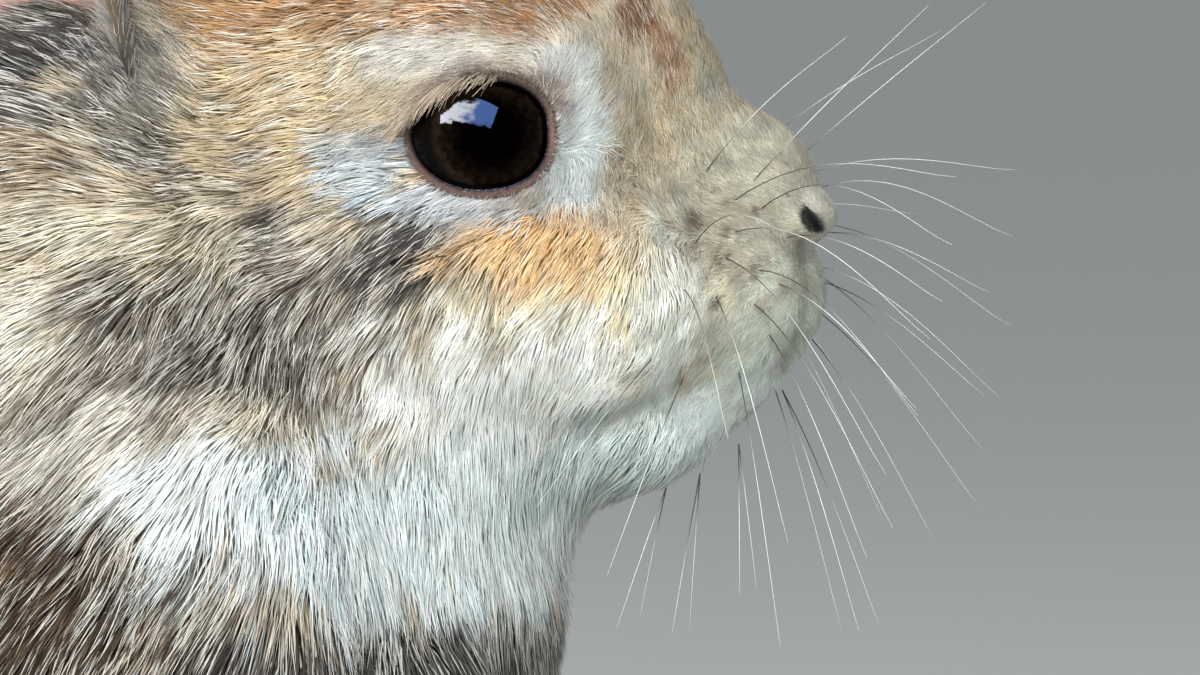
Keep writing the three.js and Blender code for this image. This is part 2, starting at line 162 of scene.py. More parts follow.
def seen_from(p, x, side, z, tilt):
    """Points ahead of, beside and above a middle, which stands on both sides, in its frame tilted nose down."""
    turn = math.radians(tilt)
    dx, dy, dz = p[:, 0] - x, np.abs(p[:, 1]) - side, p[:, 2] - z
    return dx * math.cos(turn) - dz * math.sin(turn), dy, dx * math.sin(turn) + dz * math.cos(turn)


def outside(mass, p):
    """About how far points lie outside one mass, in millimetres."""
    x, side, z, rx, ry, rz, tilt, _ = mass
    a, dy, c = seen_from(p, x, side, z, tilt)
    near = np.sqrt((a / rx) ** 2 + (dy / ry) ** 2 + (c / rz) ** 2)
    slope = np.sqrt((a / rx**2) ** 2 + (dy / ry**2) ** 2 + (c / rz**2) ** 2)
    return near * (near - 1) / np.maximum(slope, 1e-6)


def outline(p):
    """How far points lie outside the tips of the coat, in millimetres; less than 0 inside."""
    found = np.full(len(p), 1e3)
    for mass in MASSES:
        here, width = outside(mass, p), mass[-1]
        share = np.maximum(width - np.abs(found - here), 0) / width
        found = np.minimum(found, here) - share * share * width / 4
    return found


print("the outline melts", len(MASSES), "masses together")

# %% [markdown]
# ## How the coat lies
# A coat changes all over the body: velvet on the nose, a centimetre of soft fur on the flanks, and each part is
# combed its own way, up the bridge of the face, back over the crown, down the cheeks and throat. A groomer would
# learn it spot by spot, and so does this table. Between the spots everything is blended by nearness, so the
# coat never changes at a hard line.

# %% The coat, spot by spot
# ahead, side, up | depth, hair length, hairs per square mm, hair thickness | lie: ahead, side, up
COAT = np.array([
    (36, 0, 79, 0.35, 0.7, 14, 0.09, -0.7, 0.1, 0.7),  # tip of the nose
    (32, 6, 77, 0.35, 0.8, 14, 0.09, -0.9, 0.2, 0.1),  # beside the nostril
    (35, 3, 69, 0.45, 1.1, 14, 0.12, -0.4, 0.5, -0.7),  # upper lip
    (28, 11, 70, 0.55, 1.3, 14, 0.12, -0.6, 0.1, -0.7),  # whisker pad
    (28, 10, 77, 0.5, 1.3, 14, 0.12, -0.8, 0.1, -0.2),  # top of the whisker pad
    (29, 5, 57, 1.1, 2.6, 11, 0.12, -0.5, 0.2, -0.8),  # chin
    (21, 10, 60, 1.3, 3.2, 10, 0.13, -0.4, 0.1, -0.9),  # corner of the mouth
    (31, 0, 85, 0.5, 1.4, 14, 0.13, -0.65, 0.0, 0.75),  # low on the bridge
    (25, 0, 91, 0.8, 2.3, 12, 0.15, -0.6, 0.0, 0.8),  # bridge
    (20, 10, 90, 0.9, 2.5, 12, 0.15, -0.5, 0.0, 0.85),  # side of the bridge
    (24, 11, 82, 0.7, 1.8, 13, 0.13, -0.3, 0.1, 0.9),  # above the whisker pad
    (14, 0, 103, 1.5, 3.4, 9, 0.16, -0.95, 0.0, 0.35),  # forehead
    (0, 13, 101, 1.5, 3.6, 9, 0.16, -0.95, 0.1, -0.3),  # above the brow
    (-15, 0, 108, 2.2, 4.6, 7, 0.17, -1.0, 0.0, 0.0),  # crown
    (14, 17, 88, 0.9, 2.2, 12, 0.14, 0.7, 0.15, 0.7),  # ahead of the eye
    (15, 16, 81, 1.0, 2.6, 11, 0.15, 0.0, 0.2, -0.9),  # below the front corner
    (3, 18.5, 94, 1.1, 2.8, 10, 0.14, -0.92, 0.1, -0.38),  # brow
    (-7, 19, 87, 1.3, 3.2, 9, 0.15, -0.9, 0.1, -0.45),  # behind the eye
    (3, 20, 78.5, 1.3, 3.2, 10, 0.16, -0.75, 0.1, -0.6),  # under the eye
    (13, 17, 74, 1.7, 4.4, 8, 0.17, -0.5, 0.1, -0.85),  # upper cheek
    (22, 13, 71, 1.6, 4.6, 8, 0.17, 0.22, 0.35, -1.0),  # front edge of the cheek
    (2, 23, 68, 2.3, 5.0, 7, 0.16, -0.4, 0.1, -0.92),  # cheek
    (9, 17, 58, 2.6, 5.8, 7, 0.165, -0.16, 0.0, -1.0),  # jowl
    (-10, 22, 63, 2.8, 6.2, 6.5, 0.165, -0.38, 0.1, -0.92),  # back of the jowl
    (-4, 21, 75, 1.9, 4.2, 7.5, 0.15, -0.75, 0.1, -0.65),  # below the rear corner
    (-24, 22, 68, 2.7, 6.0, 6.5, 0.16, -0.57, 0.1, -0.82),  # back of the cheek
    (-16, 21, 78, 2.3, 5.0, 7, 0.15, -0.88, 0.1, -0.47),  # below the temple
    (-20, 19, 86, 2.0, 4.2, 7.5, 0.14, -0.92, 0.1, -0.36),  # temple
    (-31, 16, 90, 1.4, 2.8, 8.5, 0.13, -0.75, 0.0, 0.6),  # before the ear
    (-40, 19, 81, 2.2, 5.5, 7, 0.155, -1.0, 0.1, -0.12),  # below the ear
    (-43, 24, 73, 3.0, 6.5, 6, 0.165, -0.82, 0.1, -0.57),  # back of the neck
    (-47, 0, 104, 4.2, 9, 2.4, 0.28, -1.0, 0.0, -0.2),  # nape
    (0, 0, 44, 3.4, 7.2, 6, 0.17, -0.1, 0.0, -1.0),  # throat
    (15, 3, 52, 2.0, 4.6, 7, 0.15, -0.4, 0.0, -0.9),  # under the jaw
    (-36, 28, 57, 3.8, 7.5, 6, 0.17, -0.68, 0.1, -0.73),  # side of the neck
    (-20, 27, 42, 4.0, 8, 5.5, 0.18, -0.27, 0.0, -0.96),  # foot of the neck
    (8, 0, 30, 4.6, 10, 4, 0.2, -0.06, 0.0, -1.0),  # chest
    (-48, 36, 50, 4.6, 9, 4, 0.2, -0.7, 0.1, -0.7),  # shoulder
    (-85, 43, 55, 5.5, 11, 1.1, 0.42, -0.95, 0.0, -0.35),  # flank
    (-90, 0, 111, 5.5, 11, 1.1, 0.42, -1.0, 0.0, -0.1),  # back
    (-150, 15, 70, 5.5, 11, 1.1, 0.42, -0.5, 0.2, -0.9),  # rump
    (-106, 52, 40, 5.0, 10, 1.2, 0.4, -0.8, 0.0, -0.6),  # thigh
    (-80, 10, 4, 5.0, 10, 0.9, 0.44, -1.0, 0.0, -0.1),  # belly
    (-24, 38, 30, 3.6, 8, 1.8, 0.32, -0.4, 0.0, -0.9),  # upper arm
    (0, 25, 15, 2.0, 4.5, 3.2, 0.24, 0.2, 0.0, -1.0),  # forearm
    (8, 16.5, 14, 1.3, 3.2, 5, 0.18, 1.0, 0.0, -0.15),  # fore foot
    (19, 16.5, 6, 1.0, 2.4, 6, 0.16, 1.0, 0.0, -0.3),  # fore toes
    (-90, 40, 16, 1.7, 4.5, 2.4, 0.26, 1.0, 0.0, -0.1),  # hind foot
    (-52, 38, 7, 1.1, 3.0, 5, 0.18, 1.0, 0.0, -0.3),  # hind toes
    (-140, 38, 16, 3.0, 7, 1.6, 0.34, -0.3, 0.0, -1.0),  # hock
    (-168, 0, 55, 3.8, 10, 1.8, 0.34, -0.4, 0.0, 0.9),  # tail
])
BLEND = 12  # square mm; the larger this is, the more widely neighbouring spots mix


def coat(p):
    """Depth, hair length, density, thickness and lie of the coat at each point, blended from the nearest spots."""
    found = np.zeros((len(p), 7))
    total = np.zeros(len(p))
    for spot in COAT:
        away = (p[:, 0] - spot[0]) ** 2 + (np.abs(p[:, 1]) - spot[1]) ** 2 + (p[:, 2] - spot[2]) ** 2
        weight = 1 / (away + BLEND) ** 2
        found += weight[:, None] * spot[3:]
        total += weight
    found /= total[:, None]
    found[:, 5] *= np.sign(p[:, 1])
    return found


print("the coat is", COAT[:, 3].min(), "to", COAT[:, 3].max(), "mm deep")

# %% [markdown]
# ## The skin
# The skin is the outline sunk by the coat's depth, with what the fur would hide: the lids, which bulge over the
# eyeballs and part in an almond, the nostrils, the cleft of the upper lip and the furrows between the toes.
# A grid of cubes is laid over it, fine round the face and coarse along the back. Each cube that the skin passes
# through gets one vertex, and each grid edge that it crosses gets one quad. This is how a voxel remesh works,
# written out here because its cubes need not all be the same size.

# %% The skin as a formula
EYE_MIDDLE = np.array([EYE_AHEAD, EYE_SIDE, EYE_HEIGHT])
FRONT_REACH, REAR_REACH, TOP_REACH, BOTTOM_REACH = 58.5, 64.0, 41.5, 44.0  # the opening, in degrees
LID_VELVET, LID_SKIN = 1.5, 0.45  # how far the lids' fur and their bare skin stand over the eyeball, in mm
POCKET_EDGE, POCKET_DEPTH = 4, 1.5  # the skin parts so many degrees beyond the margin, so many mm into the ball
FLOOR_GAP = 0.25  # how far the soles stay above the floor, in mm
TOE_FURROW = 0.8  # how deep the furrows between the toes are, in mm
UPPER_LIP = (32.2, 70, 4.5)  # the cleft starts here, ahead; its middle is this far up; half its length
NOSTRILS = [
    # ahead, side, up, half sizes along the slit, deep and across, and how the slit leans, in degrees
    (34.7, 4.3, 76.5, 1.95, 2.4, 0.78, 60),
    (34.0, 4.6, 77.6, 0.9, 1.8, 0.4, 78),
    (35.5, 5.0, 76.2, 1.3, 1.5, 1.2, 0),
]


def eye_axes(side):
    """Out of the eye's opening, along it to the front, and across it upwards."""
    out = unit(np.array([0, side, 0.02]))
    front = np.array([1.0, 0, 0])
    return out, front, np.cross(front, out) * side


def opening(direction):
    """Degrees from the middle of the opening to the lid margin, at an angle round it; 0 is straight ahead.

    The front is a round bow; the rear runs together in a corner, which a power below 2 gives.
    """
    c, s = np.cos(direction), np.sin(direction)
    along = np.where(c > 0, FRONT_REACH, REAR_REACH)
    across = np.where(s > 0, TOP_REACH + 3 * c, BOTTOM_REACH)
    power = np.where(c > 0, 2.5, np.where(s > 0, 1.35, 1.75))
    return ((np.abs(c) / along) ** power + (np.abs(s) / across) ** power) ** (-1 / power)


def from_eye(p):
    """Where points lie from the middle of the eye on their own side, as if all were on the left."""
    return np.column_stack([p[:, 0], np.abs(p[:, 1]), p[:, 2]]) - EYE_MIDDLE


def beyond_lids(p):
    """Degrees that points lie outside the lid margin, seen from the middle of the eye, and their distance from it."""
    rel = from_eye(p)
    out, front, top = eye_axes(1)
    away = np.linalg.norm(rel, axis=1)
    angle = np.degrees(np.arccos(np.clip(rel @ out / np.maximum(away, 1e-6), -1, 1)))
    return angle - opening(np.arctan2(rel @ top, rel @ front)), away


def melt(a, b, width):
    """The lesser of two distances, with the crease between them filled."""
    h = np.clip(0.5 + 0.5 * (b - a) / width, 0, 1)
    return b + (a - b) * h - width * h * (1 - h)


def nostril(p):
    """Distance outside the nostrils' hollows."""
    found = []
    for x, side, z, rx, ry, rz, tilt in NOSTRILS:
        a, dy, c = seen_from(p, x, side, z, tilt)
        near = np.sqrt((a / rx) ** 2 + (dy / ry) ** 2 + (c / rz) ** 2)
        found.append((near - 1) * min(rx, ry, rz))
    return np.min(found, axis=0)


def cleft(p):
    """Distance outside the groove between the halves of the upper lip."""
    start, middle, half = UPPER_LIP
    from_middle = np.hypot(p[:, 1] / 0.55, np.maximum(0, np.abs(p[:, 2] - middle) - half))
    return np.where(p[:, 0] > start, from_middle - 0.5, 5.0)


def between_toes(p):
    """Millimetres from the nearest furrow between two toes, seen from above; large where there are no toes."""
    found = np.full(len(p), 9.0)
    for toe_front, middle, pitch in (FORE_TOES, HIND_TOES):
        off = (np.abs(p[:, 1]) - middle) / pitch
        near = np.abs(off - np.clip(np.round(off), -1, 1)) * pitch
        on_toes = (p[:, 0] > toe_front - 2) & (p[:, 0] < toe_front + 9) & (p[:, 2] < 14) & (np.abs(off) < 2.5)
        found = np.where(on_toes, np.minimum(found, near + 0.6 * np.maximum(0, toe_front + 1 - p[:, 0])), found)
    return found


def coat_top(p):
    """Where the tips of the coat lie: the outline, and over the lids a thin velvet."""
    return melt(outline(p), np.linalg.norm(from_eye(p), axis=1) - (EYE_RADIUS + LID_VELVET), 1.5)


def skin_field(p):
    """How far points lie outside the skin, in millimetres; less than 0 inside."""
    sunk = np.maximum(outline(p), FLOOR_GAP - p[:, 2]) + coat(p)[:, 0]
    sunk = sunk + TOE_FURROW * smooth(1.1, 0.0, between_toes(p))
    beyond, away = beyond_lids(p)
    sunk = melt(sunk, away - (EYE_RADIUS + LID_SKIN), 1.4)
    pocket = np.minimum((POCKET_EDGE - beyond) * EYE_RADIUS * math.radians(1), away - (EYE_RADIUS - POCKET_DEPTH))
    sunk = np.maximum(sunk, pocket)
    face = p[:, 0] > 20
    q = p[face]
    sunk[face] = np.maximum(sunk[face], np.maximum(-nostril(q), -cleft(q)))
    return sunk


def slope_of(field, p, h=0.08):
    """The field's value at each point, and how steeply it rises along each axis, over steps of h mm."""
    here = field(p)
    steps = [(field(p + h * axis) - here) / h for axis in np.eye(3)]
    return here, np.column_stack(steps)


# %% From the formula to a mesh
def ruled(starts, end):
    """Grid lines from the first start to the end; after each start they lie about one step apart."""
    lines = []
    for i, (start, step) in enumerate(starts):
        stop = starts[i + 1][0] if i + 1 < len(starts) else end
        lines += list(np.linspace(start, stop, max(2, round((stop - start) / step) + 1))[:-1])
    return np.array(lines + [end])


def surface_of(field, xs, half_ys, zs):
    """Vertices and quads where a field that is the same on both sides is zero."""
    gx, gy, gz = np.meshgrid(xs, half_ys, zs, indexing="ij")
    half = field(np.column_stack([gx.ravel(), gy.ravel(), gz.ravel()])).reshape(gx.shape)
    value = np.concatenate([half[:, :0:-1], half], axis=1)
    ys = np.concatenate([-half_ys[:0:-1], half_ys])
    grid = np.stack(np.meshgrid(xs, ys, zs, indexing="ij"), axis=-1)
    inside = value < 0
    cells = tuple(n - 1 for n in value.shape)
    total, crossings = np.zeros(cells + (3,)), np.zeros(cells)
    corner = lambda a, i, j, k: a[i : i + cells[0], j : j + cells[1], k : k + cells[2]]
    corners = [(i, j, k) for i in (0, 1) for j in (0, 1) for k in (0, 1)]
    for a in corners:
        for b in corners:
            if a < b and sum(abs(p - q) for p, q in zip(a, b)) == 1:
                va, vb = corner(value, *a), corner(value, *b)
                crossed = (va < 0) != (vb < 0)
                share = np.where(crossed, va / np.where(crossed, va - vb, 1), 0)[..., None]
                point = corner(grid, *a) * (1 - share) + corner(grid, *b) * share
                total += point * crossed[..., None]
                crossings += crossed
    used = crossings > 0
    number = np.full(cells, -1)
    number[used] = np.arange(used.sum())
    vertices = total[used] / crossings[used][:, None]
    quads = []
    for axis in range(3):
        u, v = (axis + 1) % 3, (axis + 2) % 3
        step = np.eye(3, dtype=int)
        ahead = np.roll(inside, -1, axis)
        crossed = inside != ahead
        edge = np.argwhere(crossed)
        edge = edge[(edge[:, axis] < value.shape[axis] - 1) & (edge[:, u] > 0) & (edge[:, v] > 0)]
        edge = edge[(edge[:, u] < cells[u]) & (edge[:, v] < cells[v])]
        ring = [edge, edge - step[u], edge - step[u] - step[v], edge - step[v]]
        ring = np.column_stack([number[tuple(r.T)] for r in ring])
        outward = inside[tuple(edge.T)]
        quads.append(np.where(outward[:, None], ring, ring[:, ::-1]))
    return vertices, np.concatenate(quads)


def settle(field, vertices, rounds=2, reach=0.6):
    """Moves vertices along the slope of the field until they lie on the surface."""
    p = vertices.copy()
    for _ in range(rounds):
        here, slope = slope_of(field, p)
        move = here[:, None] * slope / np.maximum((slope**2).sum(1), 0.2)[:, None]
        p -= np.clip(move, -reach, reach)
    return p


FINE = 1.0
skin_points, skin_quads = surface_of(
    skin_field,
    ruled([(-176, 3.0 * FINE), (-66, 1.8 * FINE), (-44, 1.5 * FINE), (-10, 0.75 * FINE), (28, 0.42 * FINE)], 38),
    ruled([(0, 0.45 * FINE), (8, 0.8 * FINE), (24, 2.4 * FINE)], 54),
    ruled(
        [(-1, 1.5 * FINE), (20, 2.2 * FINE), (50, 0.75 * FINE), (70, 0.45 * FINE), (82, 0.75 * FINE), (98, 1.8 * FINE)],
        112,
    ),
)
skin_points = settle(skin_field, skin_points)
print("skin:", len(skin_points), "vertices,", 2 * len(skin_quads), "triangles")

# %% [markdown]
# ## Markings
# The markings are soft patches laid one over another on a sandy ground, in the order that a painter would put them
# down. Each has a colour, a place and a reach, and its edge is broken by slow ripples, as the border between two
# colours of fur never runs straight. The last number is the share of black-tipped hairs, which gives a
# wild-coloured coat its salt-and-pepper ticking. Skin and hair ask the same function, so they always agree.

# %% Colours and patches
def linear(code):
    """An sRGB hex colour as linear light."""
    parts = [int(code[i : i + 2], 16) / 255 for i in (0, 2, 4)]
    return np.array([c / 12.92 if c <= 0.04045 else ((c + 0.055) / 1.055) ** 2.4 for c in parts])


SAND = "b9ac98"
# some patches are painted shade: under the ruff, ahead of the cheek, along the whisker rows and under the jaw; chest,
# throat and chin are partly painted light or shade
MARKINGS = [
    # colour, ahead, side, up, reach ahead, to the side and up, strength, black-tipped share
    ("978369", -100, 0, 80, 90, 70, 75, 1.0, 0.26),  # wild-coloured back
    ("b5a184", -85, 45, 35, 60, 30, 26, 0.7, 0.18),  # paler flank
    ("e6e0d4", -78, 0, 4, 66, 26, 22, 0.95, 0.0),  # belly
    ("5f4a36", -36, 26, 44, 26, 26, 26, 1.0, 0.47),  # neck and shoulder
    ("5f605b", -2, 10, 30, 34, 36, 14, 0.9, 0.4),  # grey chest, darker partly by painted shade
    ("4b4644", -8, 20, 36, 19, 24, 5, 0.75, 0.35),  # painted shadow under the ruff, along the grey chest's upper edge
    ("cbb899", 6, 17, 6, 26, 12, 12, 0.9, 0.05),  # fore feet
    ("cbb899", -90, 40, 6, 52, 14, 10, 0.9, 0.05),  # hind feet
    ("efece4", -170, 0, 46, 14, 14, 26, 1.0, 0.02),  # underside of the tail
    ("a4835f", -22, 0, 106, 24, 18, 12, 0.8, 0.22),  # crown
    ("ad7f56", 0, 8, 101.4, 18, 15, 5.0, 0.88, 0.24),  # ginger forehead
    ("9f7850", -18.5, 16, 97.5, 9.5, 9, 5.2, 0.86, 0.08),  # the same, running back
    ("bca98b", 20, 0, 91, 13, 12, 15, 0.85, 0.06),  # tan bridge
    ("94683f", 8.5, 13, 98.6, 8.5, 8, 3.3, 0.8, 0.25),  # browner above the eye
    ("774a2e", 17.4, 8, 97.5, 2.1, 4.5, 3.8, 0.78, 0.25),  # dark streak down the bridge
    ("946443", 20.8, 8, 92.5, 1.9, 4.5, 3.6, 0.68, 0.15),  # the same, lower
    ("b8a483", -15, 18, 87, 14, 12, 9, 0.85, 0.03),  # cream temple
    ("68665f", -32, 17, 88.5, 8, 11, 8.5, 0.9, 0.16),  # grey root of the ear
    ("4c4c4a", -44, 16, 93, 10, 12, 9.5, 0.95, 0.34),  # grey below the ear
    ("9a9188", -21, 22, 68, 20, 14, 13, 0.88, 0.47),  # brindled cheek
    ("cdc0a6", -26, 22, 76, 11, 12, 3.6, 0.65, 0.1),  # paler stripe in it
    ("625c54", -33, 23, 68, 5, 10, 5, 0.6, 0.5),  # dark streaks of it
    ("625c54", -17, 23, 64.5, 9, 10, 4.5, 0.45, 0.5),  # another, below
    ("6a645c", -16.5, 21, 77.5, 3.4, 8, 2.2, 0.7, 0.4),  # another, towards the temple
    ("e4dccc", -43, 26, 65.5, 10, 18, 8.5, 0.9, 0.12),  # pale fur behind it
    ("dad2c0", -43, 22, 76.5, 12, 14, 4, 0.8, 0.12),  # the same, higher
    ("5c5a58", -2.2, 21, 75.6, 7.0, 9, 5.2, 0.92, 0.42),  # dark patch behind the eye
    ("aba796", 30, 6, 76, 9.5, 13, 15, 0.95, 0.02),  # muzzle
    ("c4cabd", 32, 6, 64.5, 8.5, 12, 7.5, 0.85, 0.0),  # paler lower down
    ("8d8674", 27, 11, 78.3, 4.4, 7, 0.5, 0.4, 0.0),  # painted shade of furrows along the rows of whiskers
    ("8d8674", 27.2, 11, 75.1, 4.8, 7, 0.5, 0.45, 0.0),  # the middle one
    ("8d8674", 27.2, 11, 71.6, 4.8, 7, 0.5, 0.4, 0.0),  # the lower one
    ("a69c8a", 26.5, 11, 74, 3.6, 7, 8, 0.55, 0.0),  # painted shadow that the cheek's front edge casts on the muzzle ahead of it
    ("e6d6b4", 13.5, 18, 71.5, 12, 9, 8, 0.75, 0.01),  # straw-coloured cheek
    ("d6ad7c", 10, 18.8, 75.7, 8.8, 9, 5.0, 0.85, 0.06),  # ginger cheek
    ("f6f5ee", 8, 18, 62, 15, 11, 8.2, 0.97, 0.01),  # cream cheek
    ("dddfd6", 21.5, 13, 69, 3.4, 8, 8, 0.85, 0.0),  # its pale front edge
    ("e6e6de", 7, 17, 54.5, 11, 14, 4.5, 0.9, 0.02),  # pale corner of the jaw
    ("ddd6ca", -31, 26, 56, 10, 14, 5.5, 0.85, 0.06),  # cream edge of the throat
    ("d6cbba", -17, 24, 57.5, 10, 14, 3.8, 0.8, 0.06),  # beige between the brindle and the throat
    ("e9eeed", -20.5, 24, 52, 10, 24, 5.0, 1.0, 0.02),  # white back of the throat
    ("e0e9ea", -3, 16, 48.5, 23, 26, 8.2, 1.0, 0.02),  # white throat, with a painted cool cast of light bounced from below
    ("e6f2ef", 22, 4, 54.5, 14, 12, 8.5, 0.95, 0.0),  # white chin, partly painted light: lighter and cooler, as if lit from below
    ("dce4e3", 7, 11, 52, 13, 14, 8, 0.9, 0.0),  # white between throat and chin
    ("a9b6b2", 13, 9, 53, 9, 9, 6, 0.7, 0.02),  # painted shadow under the jaw
    ("d3dbdd", 12.6, 17, 84.8, 3.3, 7, 5.6, 0.85, 0.0),  # white ahead of the eye
    ("d0d6d6", 11.2, 17, 91.0, 3.0, 7, 3.6, 0.7, 0.0),  # the same, curving back above
    ("aeb2b6", 3, 20, 79.4, 8.5, 7, 2.0, 0.85, 0.02),  # white under the eye
    ("aab5bd", -7.6, 20, 83.5, 4.8, 7, 4.4, 0.8, 0.05),  # white behind the eye
    ("c9c5bd", -1, 18, 94.2, 8.5, 7, 2.1, 0.8, 0.05),  # pale brow
    ("cbc6b9", 36, 0, 78, 3.2, 6, 3.6, 0.8, 0.0),  # nose
    ("625a50", 36.3, 5, 76.2, 1.5, 4, 1.9, 0.7, 0.0),  # shade beside the nostril
]
PATCH_EDGE = (1.3, 0.62)  # a patch begins at the first share of its reach and is full at the second
LID_SHADE, TOE_SHADE, FOLLICLE = "7b6a5d", "6b5d4e", "5c4a3b"
FOLLICLES = [  # dark roots of the thickest whiskers: ahead, up and reach
    (23.8, 76.8, 1.15),
    (27.1, 76.2, 0.8),
    (26.6, 73.8, 0.7),
    (26.7, 79.0, 0.7),
    (29.4, 78.1, 0.6),
    (30.0, 72.3, 0.6),
    (26.3, 69.8, 0.7),
]
# the waves that ripples are made of: direction, start and pace
WAVES = [(unit(rng.normal(size=3)), rng.uniform(0, math.tau), rng.uniform(0.7, 1.5)) for _ in range(9)]


def ripple(p, size, shift=0.0):
    """A slow wave between about -1 and 1 that never repeats; size is how far its crests lie apart."""
    total = np.zeros(len(p))
    for direction, start, pace in WAVES:
        total += np.sin(p @ direction * math.tau * pace / size + start * (1 + shift))
    return total / math.sqrt(len(WAVES))


def lay(found, weight, code, dark):
    """Lays a colour and its share of black-tipped hairs over what is there, by a weight for each point."""
    found += weight[:, None] * (np.append(linear(code), dark) - found)


def marking(p):
    """Linear colour of the coat and its share of black-tipped hairs, one row for each point."""
    found = np.tile(np.append(linear(SAND), 0.08), (len(p), 1))
    ragged = 0.2 * ripple(p, 7.0) + 0.16 * ripple(p, 2.6, 1.3)
    for code, x, side, z, rx, ry, rz, strength, dark in MARKINGS:
        away = np.sqrt(((p[:, 0] - x) / rx) ** 2 + ((np.abs(p[:, 1]) - side) / ry) ** 2 + ((p[:, 2] - z) / rz) ** 2)
        lay(found, strength * smooth(*PATCH_EDGE, away + ragged), code, dark)
    # painted shade over the upper lid, most at its margin
    beyond, away = beyond_lids(p)
    high = smooth(-0.35, 0.35, (p[:, 2] - EYE_HEIGHT) / EYE_RADIUS) * (away < EYE_RADIUS + 6)
    lay(found, 0.88 * high * smooth(22, 6, beyond + 12 * ragged), LID_SHADE, 0.1)
    # the whole coat is lighter and darker in spots about 3 mm across
    found[:, :3] *= np.exp(0.11 * ripple(p, 3.2, 0.7))[:, None]
    # painted shade in the furrows between the toes
    lay(found, 0.6 * smooth(0.9, 0.1, between_toes(p)), TOE_SHADE, 0.1)
    for x, z, reach in FOLLICLES:
        away = np.hypot(p[:, 0] - x, p[:, 2] - z) + 0.2 * ragged
        lay(found, 0.85 * smooth(1.25 * reach, 0.2 * reach, away) * (p[:, 0] > 15), FOLLICLE, 0)
    return found


print(len(MARKINGS), "patches lie over the sandy ground")

# %% [markdown]
# ## The ears
# An ear is a leaf of skin rolled into a tube at its root and opening upwards into a shallow cup. Here it is a ruled
# sheet with a thickness: each ring is an arc, rolled tight at the root and nearly flat at the tip. The finished skin is
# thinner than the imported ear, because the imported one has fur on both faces.

# %% One ear, wrapped round its cup
def between_rings(rings, steps, first=0, closed=False):
    """For each quad between rings of vertices: a, its neighbour b, and the two beside b and a on the next ring."""
    for ring in range(rings if closed else rings - 1):
        for i in range(steps):
            a, b = ring * steps + i, ring * steps + (i + 1) % steps
            yield tuple(first + corner % (rings * steps) for corner in (a, b, b + steps, a + steps))


EAR_LENGTH, EAR_HALF_WIDTH = 70, 12.5  # mm, out to the tips of the fur
EAR_SKIN, EAR_FUR = 1.3, 0.8  # how thick the skin is, and the fur beyond its edges
EAR_ROOT = np.array([-40, 13.5, EYE_HEIGHT + 3])
EAR_BACKWARD, EAR_OUTWARD, EAR_FACING = (math.radians(a) for a in (24, 15, 80))
EAR_SINK = 7  # how far the ear's root reaches into the head
ROOT_ROLL, TIP_ROLL = 2.1, 0.75  # half the angle that an arc goes round, in radians
ROOT_WIDTH = 0.62  # the root's share of the full width
EAR_RINGS, EAR_STEPS = 46, 22


def ear_frame(side):
    """Where an ear's root is, and its directions up to the tip, into the cup and across."""
    up = unit(np.array([-math.sin(EAR_BACKWARD), side * math.sin(EAR_OUTWARD), math.cos(EAR_BACKWARD)]))
    cup = np.array([math.cos(EAR_FACING), side * math.sin(EAR_FACING), 0])
    cup = unit(cup - up * (cup @ up))
    across = np.cross(up, cup)
    root = EAR_ROOT * (1, side, 1) - up * EAR_SINK
    return root, up, cup, across


def ear(side):
    """Vertices, quads and, at each vertex, how far up the ear it is, how near a rim and whether in the cup."""
    root, up, cup, across = ear_frame(side)
    rings, facts = [], []
    for ring in range(EAR_RINGS + 1):
        share = math.sin(ring / EAR_RINGS * math.pi / 2) * 0.993
        spread = ROOT_WIDTH + (1 - ROOT_WIDTH) * smooth(0, 0.5, share)
        half_width = (EAR_HALF_WIDTH - EAR_FUR) * spread * math.sqrt(1 - share**3)
        roll = ROOT_ROLL + (TIP_ROLL - ROOT_ROLL) * smooth(0.05, 0.75, share)
        radius = half_width / (math.sin(roll) if roll < math.pi / 2 else 1)
        wall = min(EAR_SKIN, half_width * 0.9)
        round_trip = np.concatenate([np.linspace(-1, 1, EAR_STEPS + 1), np.linspace(1, -1, EAR_STEPS + 1)[1:-1]])
        on_back = np.arange(len(round_trip)) < EAR_STEPS
        place = np.sin(round_trip * math.pi / 2)
        half = (wall / 2 * np.sqrt(np.maximum(0, 1 - place**4)) * np.where(on_back, 1, -1))[:, None]
        angle = (roll * place)[:, None]
        out = cup * (radius * (0.5 - np.cos(angle)) - half * np.cos(angle))
        middle = root + up * share * (EAR_LENGTH - EAR_FUR + EAR_SINK)
        rings.append(middle + out + across * (radius + half) * np.sin(angle))
        facts.append(np.column_stack([np.full(len(place), share), np.abs(place), ~on_back]))
    quads = [(b, a, d, c) for a, b, c, d in between_rings(len(rings), len(round_trip))]
    return np.concatenate(rings), np.array(quads), np.concatenate(facts)


# %% Turning arrays into pieces
def piece(name, points, faces, material):
    """A mesh object at the origin, in metres, from points in millimetres."""
    mesh = bpy.data.meshes.new(name)
    mesh.from_pydata(to_metres(points).tolist(), [], [list(f) for f in faces])
    mesh.validate()
    mesh.materials.append(material)
    mesh.shade_smooth()
    made = bpy.data.objects.new(name, mesh)
    bpy.context.scene.collection.objects.link(made)
    return made


def give(mesh, name, values, kind="FLOAT_COLOR"):
    """Stores one value for each point as a named attribute, which materials and nodes can read."""
    values = np.asarray(values, dtype=np.float32)
    if kind == "FLOAT_COLOR":
        values = np.column_stack([values, np.ones(len(values))])
    field = {"FLOAT_COLOR": "color", "FLOAT_VECTOR": "vector", "FLOAT2": "vector", "FLOAT": "value"}[kind]
    mesh.attributes.new(name, kind, "POINT").data.foreach_set(field, values.astype(np.float32).ravel())


def node(tree, kind, settings=None, links=None):
    """Adds a node; links gives each input a number, a colour or the output that feeds it."""
    made = tree.nodes.new(kind)
    for key, value in (settings or {}).items():
        setattr(made, key, value)
    for key, value in (links or {}).items():
        if isinstance(value, bpy.types.NodeSocket):
            tree.links.new(value, made.inputs[key])
        else:
            made.inputs[key].default_value = value
    return made


